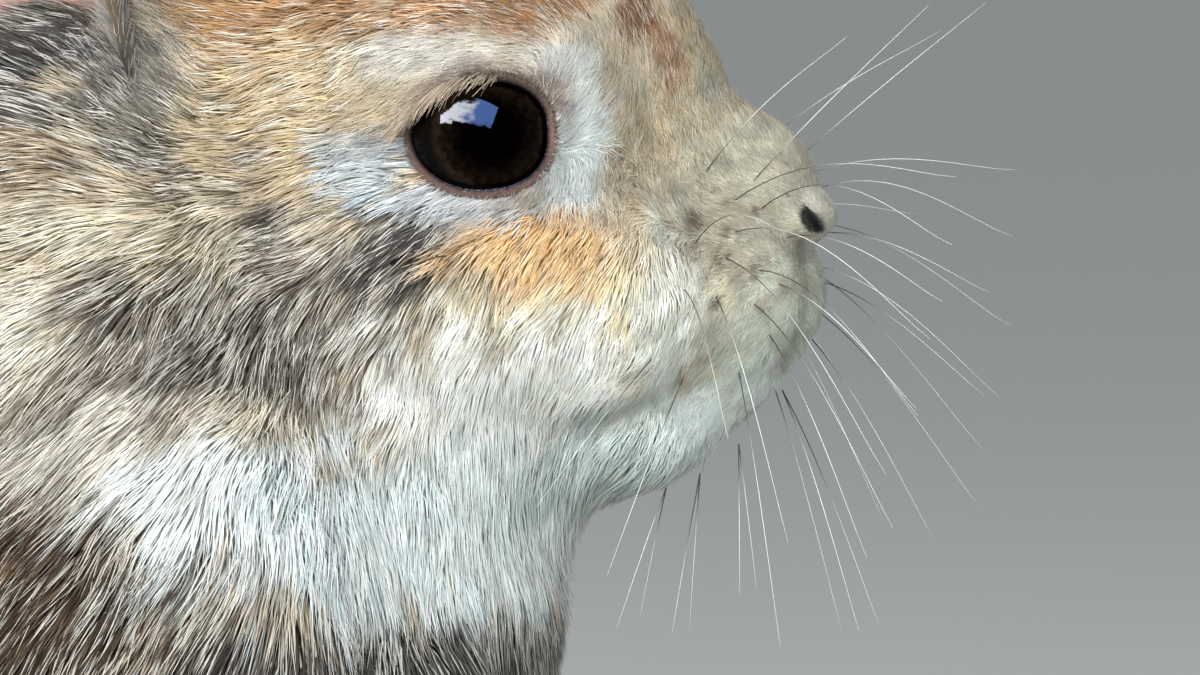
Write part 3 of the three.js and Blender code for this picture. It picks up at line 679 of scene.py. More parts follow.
def maths(tree, operation, *values):
    """The result of one sum; each value is a number or an output."""
    return node(tree, "ShaderNodeMath", {"operation": operation}, dict(enumerate(values))).outputs["Value"]


def ranged(tree, value, source, target, interpolation="LINEAR"):
    """A number carried over from the range source to the range target, each given as (low, high)."""
    sockets = ("Value", "From Min", "From Max", "To Min", "To Max")
    links = dict(zip(sockets, (value, *source, *target)))
    return node(tree, "ShaderNodeMapRange", {"interpolation_type": interpolation}, links).outputs["Result"]


def scaled(tree, vector, by):
    """A colour or a vector times a number."""
    return node(tree, "ShaderNodeVectorMath", {"operation": "SCALE"}, {0: vector, "Scale": by}).outputs["Vector"]


def noise(tree, scale, detail, where=None):
    """Fractal noise; over a piece, in metres, a scale of 1000 gives spots about 1 mm across."""
    if where is None:
        where = node(tree, "ShaderNodeTexCoord").outputs["Object"]
    return node(tree, "ShaderNodeTexNoise", {}, {"Vector": where, "Scale": scale, "Detail": detail}).outputs["Fac"]


def ramped(tree, value, stops):
    """The colour at a number from 0 to 1, from stops given as (number, hex code)."""
    ramp = node(tree, "ShaderNodeValToRGB", {}, {"Fac": value})
    marks = ramp.color_ramp.elements
    marks[0].position, marks[1].position = stops[0][0], stops[1][0]
    for where, _ in stops[2:]:
        marks.new(where)
    for mark, (_, code) in zip(marks, stops):
        mark.color = (*linear(code), 1)
    return ramp.outputs["Color"]


def stored(tree, name):
    """What give() stored under a name, for a material."""
    return node(tree, "ShaderNodeAttribute", {"attribute_name": name})


def painted(tree, shader, shade):
    """Gives a shader the colours that its mesh carries as tint, times a shade."""
    tint = stored(tree, "tint").outputs["Color"]
    tree.links.new(scaled(tree, tint, shade), shader.inputs["Base Color"])


def bumped(tree, shader, height, strength, distance):
    """Roughens a shader's surface by a height from 0 to 1, so many metres high."""
    bump = node(tree, "ShaderNodeBump", {}, {"Height": height, "Strength": strength, "Distance": distance})
    tree.links.new(bump.outputs["Normal"], shader.inputs["Normal"])


def material(name, values):
    """A new material with its tree and its shader, whose inputs get the values."""
    made = bpy.data.materials.new(name)
    made.use_nodes = True
    shader = made.node_tree.nodes["Principled BSDF"]
    for socket, value in values.items():
        shader.inputs[socket].default_value = value
    return made, made.node_tree, shader


# %% [markdown]
# ## What the coat is made of
# Rabbit fur is a dense woolly undercoat with smooth guard hairs over it. The undercoat takes light like felt, so the
# skin's material is matt with a fine bump and a little sheen. Guard hairs are glossy along their length; each is
# darker at its root, where it stands in the shade of the others, and paler towards its tip.

# %% Undercoat and guard hair
def undercoat():
    """Matt woolly felt, in the colours of the markings."""
    matt = {"Roughness": 0.9, "Sheen Weight": 0.12, "Sheen Roughness": 0.6}
    made, tree, shader = material("rabbit_undercoat", matt)
    # wool clumps about 0.8 mm across, and single hairs of 0.15 mm
    painted(tree, shader, ranged(tree, noise(tree, 900.0, 3.0), (0.3, 0.7), (0.7, 1.0)))
    bumped(tree, shader, noise(tree, 4200.0, 2.0), 0.5, 0.25 * MM)
    return made


def guard_hair(name, gloss):
    """Smooth hair with a soft shine; the gloss is its roughness."""
    silky = {"Roughness": gloss, "Specular IOR Level": 0.35, "Sheen Weight": 0.12}
    made, tree, shader = material(name, silky)
    # colour drifts slightly from lock to lock, every 3 mm or so
    painted(tree, shader, ranged(tree, noise(tree, 320.0, 4.0), (0.3, 0.7), (0.88, 1.1)))
    return made


UNDERCOAT = undercoat()
GUARD_HAIR = guard_hair("rabbit_guard_hair", 0.48)
print("materials:", UNDERCOAT.name, GUARD_HAIR.name)

# %% [markdown]
# ## One skin
# Body and ears go into one mesh, so no seam can show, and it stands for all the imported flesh. It is unwrapped by
# its own shape: each hair later gets a patch of that map at its own root.

# %% The skin as a piece
def one_skin():
    """Body and ears as one mesh: vertices, quads, the ears' end caps, and what ear() tells of each vertex."""
    points, faces, caps, facts = [skin_points], [skin_quads], [], [np.zeros((len(skin_points), 3))]
    loop = 2 * EAR_STEPS
    for side in SIDES.values():
        first = sum(len(p) for p in points)
        ear_points, ear_quads, ear_facts = ear(side)
        points.append(ear_points)
        faces.append(ear_quads + first)
        facts.append(ear_facts)
        tip = first + EAR_RINGS * loop
        caps += [list(range(first, first + loop)), list(range(tip, tip + loop))[::-1]]
    return np.concatenate(points), np.concatenate(faces), caps, np.concatenate(facts)


all_points, all_quads, ear_caps, ear_facts = one_skin()
skin = piece("skin", all_points, all_quads.tolist() + ear_caps, UNDERCOAT)


def unwrapped(thing):
    """Unwraps a piece by its own shape into the map OFBake."""
    bpy.context.view_layer.objects.active = thing
    thing.select_set(True)
    bpy.ops.object.mode_set(mode="EDIT")
    bpy.ops.mesh.select_all(action="SELECT")
    bpy.ops.uv.smart_project(angle_limit=math.radians(60), island_margin=0.002)
    bpy.ops.object.mode_set(mode="OBJECT")
    thing.select_set(False)
    thing.data.uv_layers[0].name = "OFBake"


unwrapped(skin)
on_ear = np.arange(len(all_points)) >= len(skin_points)
# the first is the inner ear's bare pink; the second is painted shade for the nostrils and the lip's cleft
INNER_EAR, NOSE_HOLLOW_SHADE = linear("c99a94"), linear("060404")


def skin_tint(p, facts, ears):
    """The markings, darkened by painted shade under long fur, bare pink inside the ears, with painted shade in the
    nostrils and the cleft of the lip.
    """
    here = coat(p)
    # under long fur the skin is darkened: painted shade of the coat over it
    deep = smooth(1.0, 6.0, here[:, 1:2]) * (1 - 0.5 * smooth(0.24, 0.4, here[:, 3:4]))
    tint = (marking(p)[:, :3] * 0.92) ** (1 + deep)
    bare = (ears * facts[:, 2] * smooth(0.98, 0.7, facts[:, 1]))[:, None]
    tint += bare * (INNER_EAR - tint)
    # painted shade deep in the nostrils, fading towards the front
    hollow = smooth(0.5, 0.05, nostril(p))[:, None] * smooth(36.6, 34.6, p[:, :1] + 0.5 * (p[:, 2:] - 77))
    tint += hollow * (NOSE_HOLLOW_SHADE - tint)
    # and painted shade in the cleft of the upper lip
    groove = 0.4 * smooth(0.4, 0.0, cleft(p))[:, None]
    return tint + groove * (NOSE_HOLLOW_SHADE - tint)


give(skin.data, "tint", skin_tint(all_points, ear_facts, on_ear))
print("skin:", len(all_points), "vertices, every quad sound:", len(skin.data.polygons) == len(all_quads) + 4)

# %% [markdown]
# ## Where each hair grows
# Roots are scattered over the skin's triangles, as many as the coat's table asks for there. They are dealt out along
# the list of triangles at even steps of skin area, each with a little chance, so there are neither bald spots nor
# crowds. A root remembers its place on the unwrap, so the hair's own patch of the map can sit there.

# %% Scattering roots
def skin_triangles():
    """The skin's triangles with their corners' places on the map, in the order of the quads."""
    quads = all_quads
    count = 4 * len(quads)
    uv = np.empty(2 * len(skin.data.loops), dtype=np.float32)
    skin.data.uv_layers["OFBake"].data.foreach_get("uv", uv)
    uv = uv.reshape(-1, 2)[:count].reshape(-1, 4, 2)
    corners = np.concatenate([quads[:, [0, 1, 2]], quads[:, [0, 2, 3]]])
    uvs = np.concatenate([uv[:, [0, 1, 2]], uv[:, [0, 2, 3]]])
    order = np.argsort(np.tile(np.arange(len(quads)), 2), kind="stable")
    return corners[order], uvs[order]


TRIANGLES, TRIANGLE_UVS = skin_triangles()
A, B, C = (all_points[TRIANGLES[:, i]] for i in range(3))
NORMALS = np.cross(B - A, C - A)
AREAS = np.linalg.norm(NORMALS, axis=1) / 2
NORMALS = unit(NORMALS)
CENTRES = (A + B + C) / 3
ON_EAR = on_ear[TRIANGLES[:, 0]]


def scattered(wanted, count):
    """Roots, normals, places on the map and triangles: so many in all, shared out by how many each triangle wants."""
    edges = np.cumsum(wanted)
    draws = (np.arange(count) + rng.random(count)) / count * edges[-1]
    which = np.searchsorted(edges, draws)
    u, v = rng.random(count), rng.random(count)
    over = u + v > 1
    u[over], v[over] = 1 - u[over], 1 - v[over]
    share = np.column_stack([1 - u - v, u, v])[..., None]
    roots = (all_points[TRIANGLES[which]] * share).sum(1)
    places = (TRIANGLE_UVS[which] * share).sum(1)
    return roots, NORMALS[which], places, which


PLACES = kdtree.KDTree(len(CENTRES))
for i, centre in enumerate(CENTRES):
    PLACES.insert(centre, i)
PLACES.balance()


def nearest_places(roots):
    """The place on the map of the skin nearest to each root, for hairs that grow from another piece."""
    found = [PLACES.find(root)[1] for root in roots]
    return TRIANGLE_UVS[found].mean(1)


def on_head(p):
    """Ahead of and above the line from the nape to the throat."""
    return (p[:, 0] > -66) & (p[:, 2] > 104 - (p[:, 0] + 66) * 59 / 76)


# %% [markdown]
# ## How a hair lies
# A hair leaves the skin, turns to lie the way the coat is combed there, and its tip ends just under the outline. It
# is walked forward in a few steps; at each one it takes the direction of the table anew and is set to its height
# over the skin. Damp or clean, fur gathers into locks: hairs lean towards the nearest leader, most at their tips.

# %% Walking hairs over the body
# for hairs of 3 steps and of 2: the share of the coat's height at each step, and of the length between them
RISE = {3: (0, 0.6, 1.0), 2: (0, 1.0)}
STRETCH = {3: (0.42, 0.58), 2: (1.0,)}
ROOT_SUNK = 0.15  # how far a hair begins under the skin, in mm


def turned(v, axis, angle):
    """Vectors that lie flat against the skin, turned about its normal."""
    return v * np.cos(angle)[:, None] + np.cross(axis, v) * np.sin(angle)[:, None]


def walked(roots, normals, steps):
    """Hair paths and the skin's normals along them (hair, step, 3), and widths, from roots on the body."""
    here = coat(roots)
    count = len(roots)
    depth, length, thick = here[:, 0], here[:, 1] * rng.uniform(0.55, 1.25, count), here[:, 3]
    stand = rng.uniform(0.62, 1.0, count)
    bend = 0.16 * ripple(roots, 9.0) + rng.normal(0, 1, count) * (0.12 + 0.33 * smooth(5.0, 1.5, here[:, 1]))
    path, leans = [roots - normals * ROOT_SUNK], [normals]
    p, normal = roots.copy(), normals
    for step in range(1, steps):
        share = STRETCH[steps][step - 1]
        lie = coat(p)[:, 4:7]
        flat = unit(lie - normal * (lie * normal).sum(1)[:, None])
        flat = turned(flat, normal, bend)
        p = p + flat * (length * share)[:, None]
        target = -depth * (1 - RISE[steps][step] * stand)
        value, slope = slope_of(coat_top, p)
        size = np.maximum((slope**2).sum(1), 0.3)
        p = p - slope * (np.clip(value - target, -5, 5) / size)[:, None]
        p[:, 2] = np.maximum(p[:, 2], FLOOR_GAP)
        normal = unit(slope)
        path.append(p)
        leans.append(normal)
    return np.stack(path, axis=1), np.stack(leans, axis=1), thick


def gathered(path, gather, locks):
    """Pulls hairs together towards their nearest leader, and tells which leader that is."""
    leaders = rng.permutation(len(path))[: max(1, len(path) // locks)]
    tree = kdtree.KDTree(len(leaders))
    for i, leader in enumerate(leaders):
        tree.insert(path[leader, 0], i)
    tree.balance()
    nearest = np.array([leaders[tree.find(root)[1]] for root in path[:, 0]])
    pull = gather * (np.arange(path.shape[1]) / (path.shape[1] - 1)) ** 1.5
    root_gap = path[:, :1] - path[nearest, :1]
    goal = path[nearest] + root_gap * 0.3
    return path + (goal - path) * pull[None, :, None], nearest


ROOT_CLEAR, TIP_CLEAR = 4.5, 2  # how far roots and tips keep from the lid margin, in degrees
NOSTRIL_CLEAR = 0.12  # and from the nostrils' hollows, in mm


def clear_of_the_face(path):
    """Hairs whose tips would cross the eye or fill a nostril are left out."""
    keep = np.ones(len(path), dtype=bool)
    for step in range(path.shape[1]):
        p = path[:, step]
        beyond, away = beyond_lids(p)
        keep &= (beyond > (ROOT_CLEAR if step == 0 else TIP_CLEAR)) | (away > EYE_RADIUS + 5)
        keep &= nostril(p) > NOSTRIL_CLEAR
    return keep


# %% [markdown]
# ## From paths to fur
# The paths become one mesh of edges that carries each hair's width, tint and place on the map. A Geometry Nodes tree
# turns every chain of edges into a curve and sweeps a small triangle along it. That is fewer faces than any round
# hair, and at this size nobody can tell. Curves alone would be lighter, but they vanish when the model is exported.

# %% The tree that sweeps hairs
def read(tree, name, kind="FLOAT"):
    """An attribute that give() stored, for a Geometry Nodes tree."""
    return node(tree, "GeometryNodeInputNamedAttribute", {"data_type": kind}, {"Name": name}).outputs["Attribute"]


def sweep_tree(name, sides):
    """A tree that sweeps a ring of so many sides along every chain of edges, and the sockets that swept() sets."""
    tree = bpy.data.node_groups.new(name, "GeometryNodeTree")
    face = tree.interface
    face.new_socket("Geometry", in_out="INPUT", socket_type="NodeSocketGeometry")
    asked = (("Width", "Float"), ("Patch", "Float"), ("Softness", "Float"), ("Finish", "Material"))
    sockets = [face.new_socket(each, in_out="INPUT", socket_type="NodeSocket" + kind) for each, kind in asked]
    face.new_socket("Geometry", in_out="OUTPUT", socket_type="NodeSocketGeometry")
    given = node(tree, "NodeGroupInput")
    chains = node(tree, "GeometryNodeMeshToCurve", {}, {"Mesh": given.outputs["Geometry"]})
    ring = node(tree, "GeometryNodeCurvePrimitiveCircle", {"mode": "RADIUS"}, {"Resolution": sides, "Radius": 1.0})
    around = node(tree, "GeometryNodeSplineParameter")
    marked = node(
        tree,
        "GeometryNodeStoreNamedAttribute",
        {"data_type": "FLOAT", "domain": "POINT"},
        {"Geometry": ring.outputs["Curve"], "Name": "around", "Value": around.outputs["Factor"]},
    )
    swept = node(
        tree,
        "GeometryNodeCurveToMesh",
        {},
        {"Curve": chains.outputs["Curve"], "Profile Curve": marked.outputs["Geometry"], "Fill Caps": True},
    )
    half = maths(tree, "MULTIPLY", read(tree, "thick"), given.outputs["Width"])
    tree.links.new(half, swept.inputs["Scale"])
    # a tip of no width closes to a point
    pointed = node(tree, "GeometryNodeMergeByDistance", {}, {"Geometry": swept.outputs["Mesh"], "Distance": 1e-7})
    # each hair's own patch of the map begins at its root's place there
    spread = node(tree, "ShaderNodeCombineXYZ", {}, {"X": read(tree, "along"), "Y": read(tree, "around")})
    patch = scaled(tree, spread.outputs["Vector"], given.outputs["Patch"])
    root = read(tree, "root_place", "FLOAT_VECTOR")
    place = node(tree, "ShaderNodeVectorMath", {"operation": "ADD"}, {0: root, 1: patch})
    mapped = node(
        tree,
        "GeometryNodeStoreNamedAttribute",
        {"data_type": "FLOAT2", "domain": "CORNER"},
        {"Geometry": pointed.outputs["Geometry"], "Name": "OFBake", "Value": place.outputs["Vector"]},
    )
    # its shading leans towards the body's own, so that the coat looks soft
    own, lean = node(tree, "GeometryNodeInputNormal").outputs["Normal"], read(tree, "lean", "FLOAT_VECTOR")
    softened = node(
        tree, "ShaderNodeMix", {"data_type": "VECTOR"}, {"Factor": given.outputs["Softness"], 4: own, 5: lean}
    )
    shaded = node(
        tree,
        "GeometryNodeSetMeshNormal",
        {"mode": "FREE", "domain": "POINT"},
        {"Mesh": mapped.outputs["Geometry"], "Custom Normal": softened.outputs[1]},
    )
    whole = node(tree, "GeometryNodeRealizeInstances", {}, {"Geometry": shaded.outputs["Mesh"]})
    done = node(
        tree,
        "GeometryNodeSetMaterial",
        {},
        {"Geometry": whole.outputs["Geometry"], "Material": given.outputs["Finish"]},
    )
    node(tree, "NodeGroupOutput", {}, {"Geometry": done.outputs["Geometry"]})
    return tree, [socket.identifier for socket in sockets]


HAIR_PATCH = 0.003  # side of each hair's own patch, as a share of the map's
FUR_SWEEP = sweep_tree("sweep_hairs", 3)
WHISKER_SWEEP = sweep_tree("sweep_whiskers", 6)


def swept(name, path, leans, taper, thick, tints, places, finish, sweep=FUR_SWEEP, softness=0.82):
    """One piece of hairs: path (hair, step, 3) in mm, taper for each step, width and map place for each hair."""
    tree, inputs = sweep
    count, steps = path.shape[:2]
    mesh = bpy.data.meshes.new(name + "_paths")
    ends = np.arange(count * steps).reshape(count, steps)
    edges = np.stack([ends[:, :-1], ends[:, 1:]], axis=-1).reshape(-1, 2)
    mesh.vertices.add(count * steps)
    mesh.vertices.foreach_set("co", to_metres(path).astype(np.float32).ravel())
    mesh.edges.add(len(edges))
    mesh.edges.foreach_set("vertices", edges.astype(np.int32).ravel())
    give(mesh, "thick", (thick[:, None] * np.asarray(taper)[None, :]).ravel(), "FLOAT")
    give(mesh, "along", np.tile(np.linspace(0, 1, steps), count), "FLOAT")
    give(mesh, "tint", tints.reshape(-1, 3))
    give(mesh, "lean", leans.reshape(-1, 3), "FLOAT_VECTOR")
    at = np.column_stack([places, np.zeros(count)])
    give(mesh, "root_place", np.repeat(at, steps, axis=0), "FLOAT_VECTOR")
    paths = bpy.data.objects.new(name + "_paths", mesh)
    bpy.context.scene.collection.objects.link(paths)
    sweeper = paths.modifiers.new("sweep", "NODES")
    sweeper.node_group = tree
    for socket, value in zip(inputs, (0.5 * MM, HAIR_PATCH, softness, finish)):
        sweeper[socket] = value
    seen = paths.evaluated_get(bpy.context.evaluated_depsgraph_get())
    plain = bpy.data.meshes.new_from_object(seen)
    plain.name = name
    bpy.data.objects.remove(paths)
    made = bpy.data.objects.new(name, plain)
    bpy.context.scene.collection.objects.link(made)
    for extra in ("thick", "around", "root_place", "lean"):
        if extra in plain.attributes:
            plain.attributes.remove(plain.attributes[extra])
    return made


# %% [markdown]
# ## Tinting hairs
# Each hair takes the marking of the skin at its root, a shade lighter or darker by chance. Some are
# black-tipped, some are bleached, and every one is darker at the root, in painted shade.

# %% Tints and the coat's pieces
BLACK_TIP, BLEACHED = linear("2e2826"), linear("f3eee4")


def tinted(roots, steps, lock):
    """Linear colours (hair, step, 3): a hair shares half of its chance with its lock, and deepens to its root in
    painted shade.
    """
    found = marking(roots)
    count = len(roots)
    here = coat(roots)
    length, wide = here[:, 1:2], smooth(0.24, 0.4, here[:, 3:4])
    own, shared = rng.normal(0, 1, (count, 1)), rng.normal(0, 1, (count, 1))[lock]
    tint = found[:, :3] * np.exp((0.7 * own + 0.75 * shared) * (0.09 + 0.025 * length))
    chance = np.where(rng.random(count) < 0.5, rng.random(count), rng.random(count)[lock])
    dark = chance < found[:, 3]
    pale = chance > 0.94 - 0.42 * found[:, 3]
    # long hairs take painted shade towards the root and are lighter at the tip
    deep = (smooth(0.3, 5.5, length) * (1 - 0.35 * wide))[:, :, None]
    along = np.linspace(0, 1, steps)[None, :, None]
    tints = np.clip(tint, 0.004, 0.95)[:, None, :] ** (1 + deep * (1.05 - 1.35 * along))
    reach = np.linspace(0.3, 1, steps)[None, :, None]
    tints[dark] += (BLACK_TIP - tints[dark]) * reach * rng.uniform(0.6, 1.0, (dark.sum(), 1, 1))
    tints[pale] += (BLEACHED - tints[pale]) * reach * 0.75
    return np.clip(tints, 0.004, 0.95)


TAPER = {3: (0.8, 1.0, 0.0), 2: (1.0, 0.0)}
FACES = {3: 10, 2: 4}  # triangles of one hair
LARGEST_PIECE = 190000  # triangles
LOCK = 7  # hairs that gather to one leader
FAR_SIDE = 0.62  # share of the hairs on the side that faces away from the viewer, each a little wider


def grown(name, where, count, steps, gather=0.45):
    """Grows one part of the coat and cuts it, from tail to nose, into pieces that stay light enough."""
    wants = coat(CENTRES)[:, 2] * AREAS * where * np.where(CENTRES[:, 1] > 3, FAR_SIDE, 1)
    count = int(count * (1))
    roots, normals, places, _ = scattered(wants, count)
    path, leans, thick = walked(roots, normals, steps)
    thick = thick * np.where(roots[:, 1] > 3, FAR_SIDE**-0.5, 1)
    path, lock = gathered(path, gather, LOCK)
    tints = tinted(roots, steps, lock)
    keep = clear_of_the_face(path)
    path, leans, thick, tints, places = (values[keep] for values in (path, leans, thick, tints, places))
    order = np.argsort(path[:, 0, 0])
    parts = math.ceil(len(path) * FACES[steps] / LARGEST_PIECE)
    for i, part in enumerate(np.array_split(order, parts)):
        label = name if parts == 1 else name + "_" + str(i + 1)
        hairs = swept(
            label, path[part], leans[part], TAPER[steps], thick[part], tints[part], places[part], GUARD_HAIR
        )
        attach(hairs, "root")
    area = (AREAS * where).sum()
    print(name, len(path), "hairs on", round(area), "mm2:", round(len(path) / area, 2), "each mm2, in", parts, "pieces")


HEAD_SKIN = on_head(CENTRES) & ~ON_EAR
NEAR_FOOT = np.min([outside(mass, CENTRES) for mass in FORE_FOOT + HIND_FOOT], axis=0) < 0.5
FOOT_SKIN = ~HEAD_SKIN & ~ON_EAR & NEAR_FOOT
TAIL_SKIN = ~HEAD_SKIN & ~ON_EAR & (CENTRES[:, 0] < -156)
NECK_SKIN = ~HEAD_SKIN & ~ON_EAR & (CENTRES[:, 0] > -56) & (CENTRES[:, 2] > 26)
BODY_SKIN = ~HEAD_SKIN & ~ON_EAR & ~FOOT_SKIN & ~TAIL_SKIN & ~NECK_SKIN
SHORT_FUR = coat(CENTRES)[:, 1] < 3.3
grown("coat_face", HEAD_SKIN & SHORT_FUR, 88000, 2)
grown("coat_cheeks", HEAD_SKIN & ~SHORT_FUR, 43500, 3)
grown("coat_neck", NECK_SKIN, 31500, 3, 0.35)
grown("coat_body", BODY_SKIN, 18000, 3)
grown("coat_feet", FOOT_SKIN, 12000, 2)
grown("coat_tail", TAIL_SKIN, 1500, 3)

# %% [markdown]
# ## Fur of the ears
# The back of an ear is covered in short fur that points to its tip. Inside, only the rims are furred, with a fringe of
# long pale hairs that lean over the bare pink skin and grow longer towards the root.

# %% Ear hair
def ear_hairs(name, where, count, length, lift, inward, steps=3):
    """Hairs along the ears; lift is how far the tips stand off, inward how far they lean into the cup."""
    count = int(count * (1))
    roots, normals, places, which = scattered(AREAS * where, count)
    side = np.where(roots[:, 1] < 0, -1, 1)
    up, cup = (np.stack([ear_frame(s)[i] for s in (-1, 1)])[(side + 1) // 2] for i in (1, 2))
    up_ear = ear_facts[TRIANGLES[which, 0], 0]
    # where the ear comes out of the head its hair lies as the head's does
    root = smooth(0.42, 0.18, up_ear)[:, None]
    lie = unit(up + inward * cup)
    lie = unit(lie + root * (unit(coat(roots)[:, 4:7]) - lie))
    lie = unit(lie - normals * (lie * normals).sum(1)[:, None] * 0.9)
    lie = unit(lie + rng.normal(0, 0.16, lie.shape))
    reach = length * (0.7 + 1.2 * up_ear * (1 - up_ear)) * rng.uniform(0.6, 1.15, count)
    reach = reach * (1 - 0.5 * root[:, 0])
    shares = np.linspace(0, 1, steps)
    rise = lift * shares**0.7
    path = roots[:, None] + lie[:, None] * (reach[:, None] * shares)[..., None] + normals[:, None] * rise[None, :, None]
    leans = np.repeat(normals[:, None], steps, axis=1)
    path, lock = gathered(path, 0.45, 6)
    thick = (0.24 - 0.09 * root[:, 0]) * 1
    tints = ear_tint(tinted(roots, steps, lock), ear_facts[TRIANGLES[which, 0]])
    hairs = swept(name, path, leans, TAPER[steps], thick, tints, places, GUARD_HAIR)
    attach(hairs, "root")
    print(name, count, "hairs")


EAR_GREY, EAR_RIM = linear("9a8e80"), linear("dcd6cc")
EAR_ROOT_FUR = linear("a9a59e")


def ear_tint(tints, facts):
    """Hair tints drawn towards grey-brown backs, whitish rims and grey roots."""
    rim = smooth(0.72, 0.95, facts[:, 1])[:, None, None]
    ground = EAR_GREY + rim * (EAR_RIM - EAR_GREY)
    root = smooth(0.4, 0.15, facts[:, 0])[:, None, None]
    ground = (ground + root * (EAR_ROOT_FUR - ground)) * rng.uniform(0.75, 1.2, (len(tints), 1, 1))
    return np.clip(tints * 0.35 + ground * 0.65, 0, 0.95)


FACTS = ear_facts[TRIANGLES].mean(1)
EAR_BACK = ON_EAR & (FACTS[:, 2] < 0.5)
EAR_FRINGE = ON_EAR & (FACTS[:, 2] > 0.5) & (FACTS[:, 1] > 0.55)
EAR_CUP = ON_EAR & (FACTS[:, 2] > 0.5) & (FACTS[:, 1] <= 0.55)
ear_hairs("coat_ear_backs", EAR_BACK, 5500, 4.5, 0.9, 0.0)
ear_hairs("coat_ear_rims", EAR_FRINGE, 3000, 7.0, 1.0, 0.25)
ear_hairs("coat_ear_cups", EAR_CUP, 900, 8.0, 1.6, 0.1)

flesh = [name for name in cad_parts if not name.startswith(("eye", "whisker"))]
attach(skin, "root")
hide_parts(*flesh)

# %% [markdown]
# ## The eyes
# A rabbit's eye is a dark wet ball that nearly fills its socket. Iris and pupil are painted by the angle from the
# optical axis, stored at each vertex, so the pattern belongs to the eye itself.

# %% Eyeballs
# where each pupil looks: a little ahead, and to its own side
GAZE = {side: unit(np.array([0.22, 0.95 * side, 0.03])) for side in (1, -1)}


def eye_material():
    """Dark brown iris, black pupil and rim under a clear wet coat, which gives one sharp reflection."""
    wet = {"Roughness": 0.5, "Specular IOR Level": 0.0, "Coat Weight": 1.0, "Coat Roughness": 0.02, "Coat IOR": 1.1}
    made, tree, shader = material("wet_eye", wet)
    # the iris is mottled in flecks about half a millimetre across
    flecks = noise(tree, 1400.0, 4.0)
    angle = maths(tree, "ADD", stored(tree, "off_axis").outputs["Fac"], ranged(tree, flecks, (0, 1), (-0.05, 0.05)))
    iris = [(0.31, "080503"), (0.4, "100a06"), (0.47, "1d1510"), (0.53, "0b0705")]
    rings = ramped(tree, angle, [(0.0, "010101"), (0.24, "020101"), *iris, (0.6, "010101")])
    shade = ranged(tree, flecks, (0.35, 0.65), (0.55, 1.35))
    # the ball darkens towards the lids, from 8 degrees inside the opening: a dark limbus, and painted shade under the
    # lids
    rim = ranged(tree, stored(tree, "to_lid").outputs["Fac"], (-8.0, -4.5), (1.0, 0.06), "SMOOTHSTEP")
    tree.links.new(scaled(tree, rings, maths(tree, "MULTIPLY", shade, rim)), shader.inputs["Base Color"])
    return made


WET_EYE = eye_material()


def eyeball(name, side):
    """A ball of rings round the gaze, each vertex with its angle off the gaze and from the lids' margin."""
    rings, steps = 48, 72
    gaze = GAZE[side]
    east = unit(np.cross(gaze, (0, 0, 1)))
    north = np.cross(east, gaze)
    points, off_axis = [gaze * EYE_RADIUS], [0.0]
    for ring in range(1, rings):
        polar = math.pi * ring / rings
        around = np.arange(steps) / steps * math.tau
        flat = east * np.cos(around)[:, None] + north * np.sin(around)[:, None]
        points += list((gaze * math.cos(polar) + flat * math.sin(polar)) * (EYE_RADIUS - 0.02))
        off_axis += [polar / (math.pi / 2)] * steps
    points.append(-gaze * EYE_RADIUS)
    off_axis.append(2.0)
    faces = [(0, 1 + i, 1 + (i + 1) % steps) for i in range(steps)]
    faces += [(a, d, c, b) for a, b, c, d in between_rings(rings - 1, steps, 1)]
    last, first = len(points) - 1, 1 + (rings - 2) * steps
    faces += [(last, first + (i + 1) % steps, first + i) for i in range(steps)]
    placed = np.array(points) + EYE_MIDDLE * (1, side, 1)
    ball = piece(name, placed, faces, WET_EYE)
    give(ball.data, "off_axis", off_axis, "FLOAT")
    give(ball.data, "to_lid", beyond_lids(placed)[0], "FLOAT")
    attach(ball, "root")
    return ball


EYEBALLS = [eyeball("eyeball_" + name, side) for name, side in SIDES.items()]
for ball, name in zip(EYEBALLS, SIDES):
    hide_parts("eye_" + name)

# %% [markdown]
# ## Lids
# The bare margin of the lids is a soft roll of skin, 1 to 1.5 mm wide, with painted shade where it tucks against the
# wet eye, pinkish below and at the front corner, and grey-brown above. It is lofted: one small section carried round
# the almond.

# %% Lid margins
LID_SECTION = [
    # degrees beyond the margin, height over the eyeball in mm, how bare (1) or furred (0)
    (-2.4, -0.3, 1.0),
    (-0.8, 0.05, 1.0),
    (0.2, 0.3, 1.0),
    (1.6, 0.5, 1.0),
    (3.6, 0.62, 0.9),
    (6.2, 0.62, 0.5),
    (9.5, 0.42, 0.1),
    (13.0, -0.2, 0.0),
    (7.0, -0.9, 0.0),
    (0.0, -0.9, 1.0),
]
LID_STEPS = 132
# the first is painted shade where the lid tucks against the eyeball
LID_TUCK_SHADE, LID_PINK, LID_ROSE, LID_GREY = (linear(c) for c in ("080505", "624c45", "8f6c64", "4c4039"))


def lid_material():
    """Bare skin, moist and finely creased."""
    made, tree, shader = material("bare_lid_skin", {"Roughness": 0.42})
    # creases and pores about 0.3 mm apart
    pores = noise(tree, 2600.0, 3.0)
    painted(tree, shader, ranged(tree, pores, (0.3, 0.7), (0.75, 1.15)))
    bumped(tree, shader, pores, 0.8, 0.3 * MM)
    return made


BARE_SKIN = lid_material()


def around_the_eye(side, turn, degrees, height):
    """Points on the side's eye at angles round the opening, so far beyond the margin and over the ball."""
    out, front, top = eye_axes(side)
    polar = np.radians(opening(turn) + degrees)
    flat = front * np.cos(turn)[:, None] + top * np.sin(turn)[:, None]
    ray = out * np.cos(polar)[:, None] + flat * np.sin(polar)[:, None]
    return EYE_MIDDLE * (1, side, 1) + ray * (EYE_RADIUS + height)[:, None]


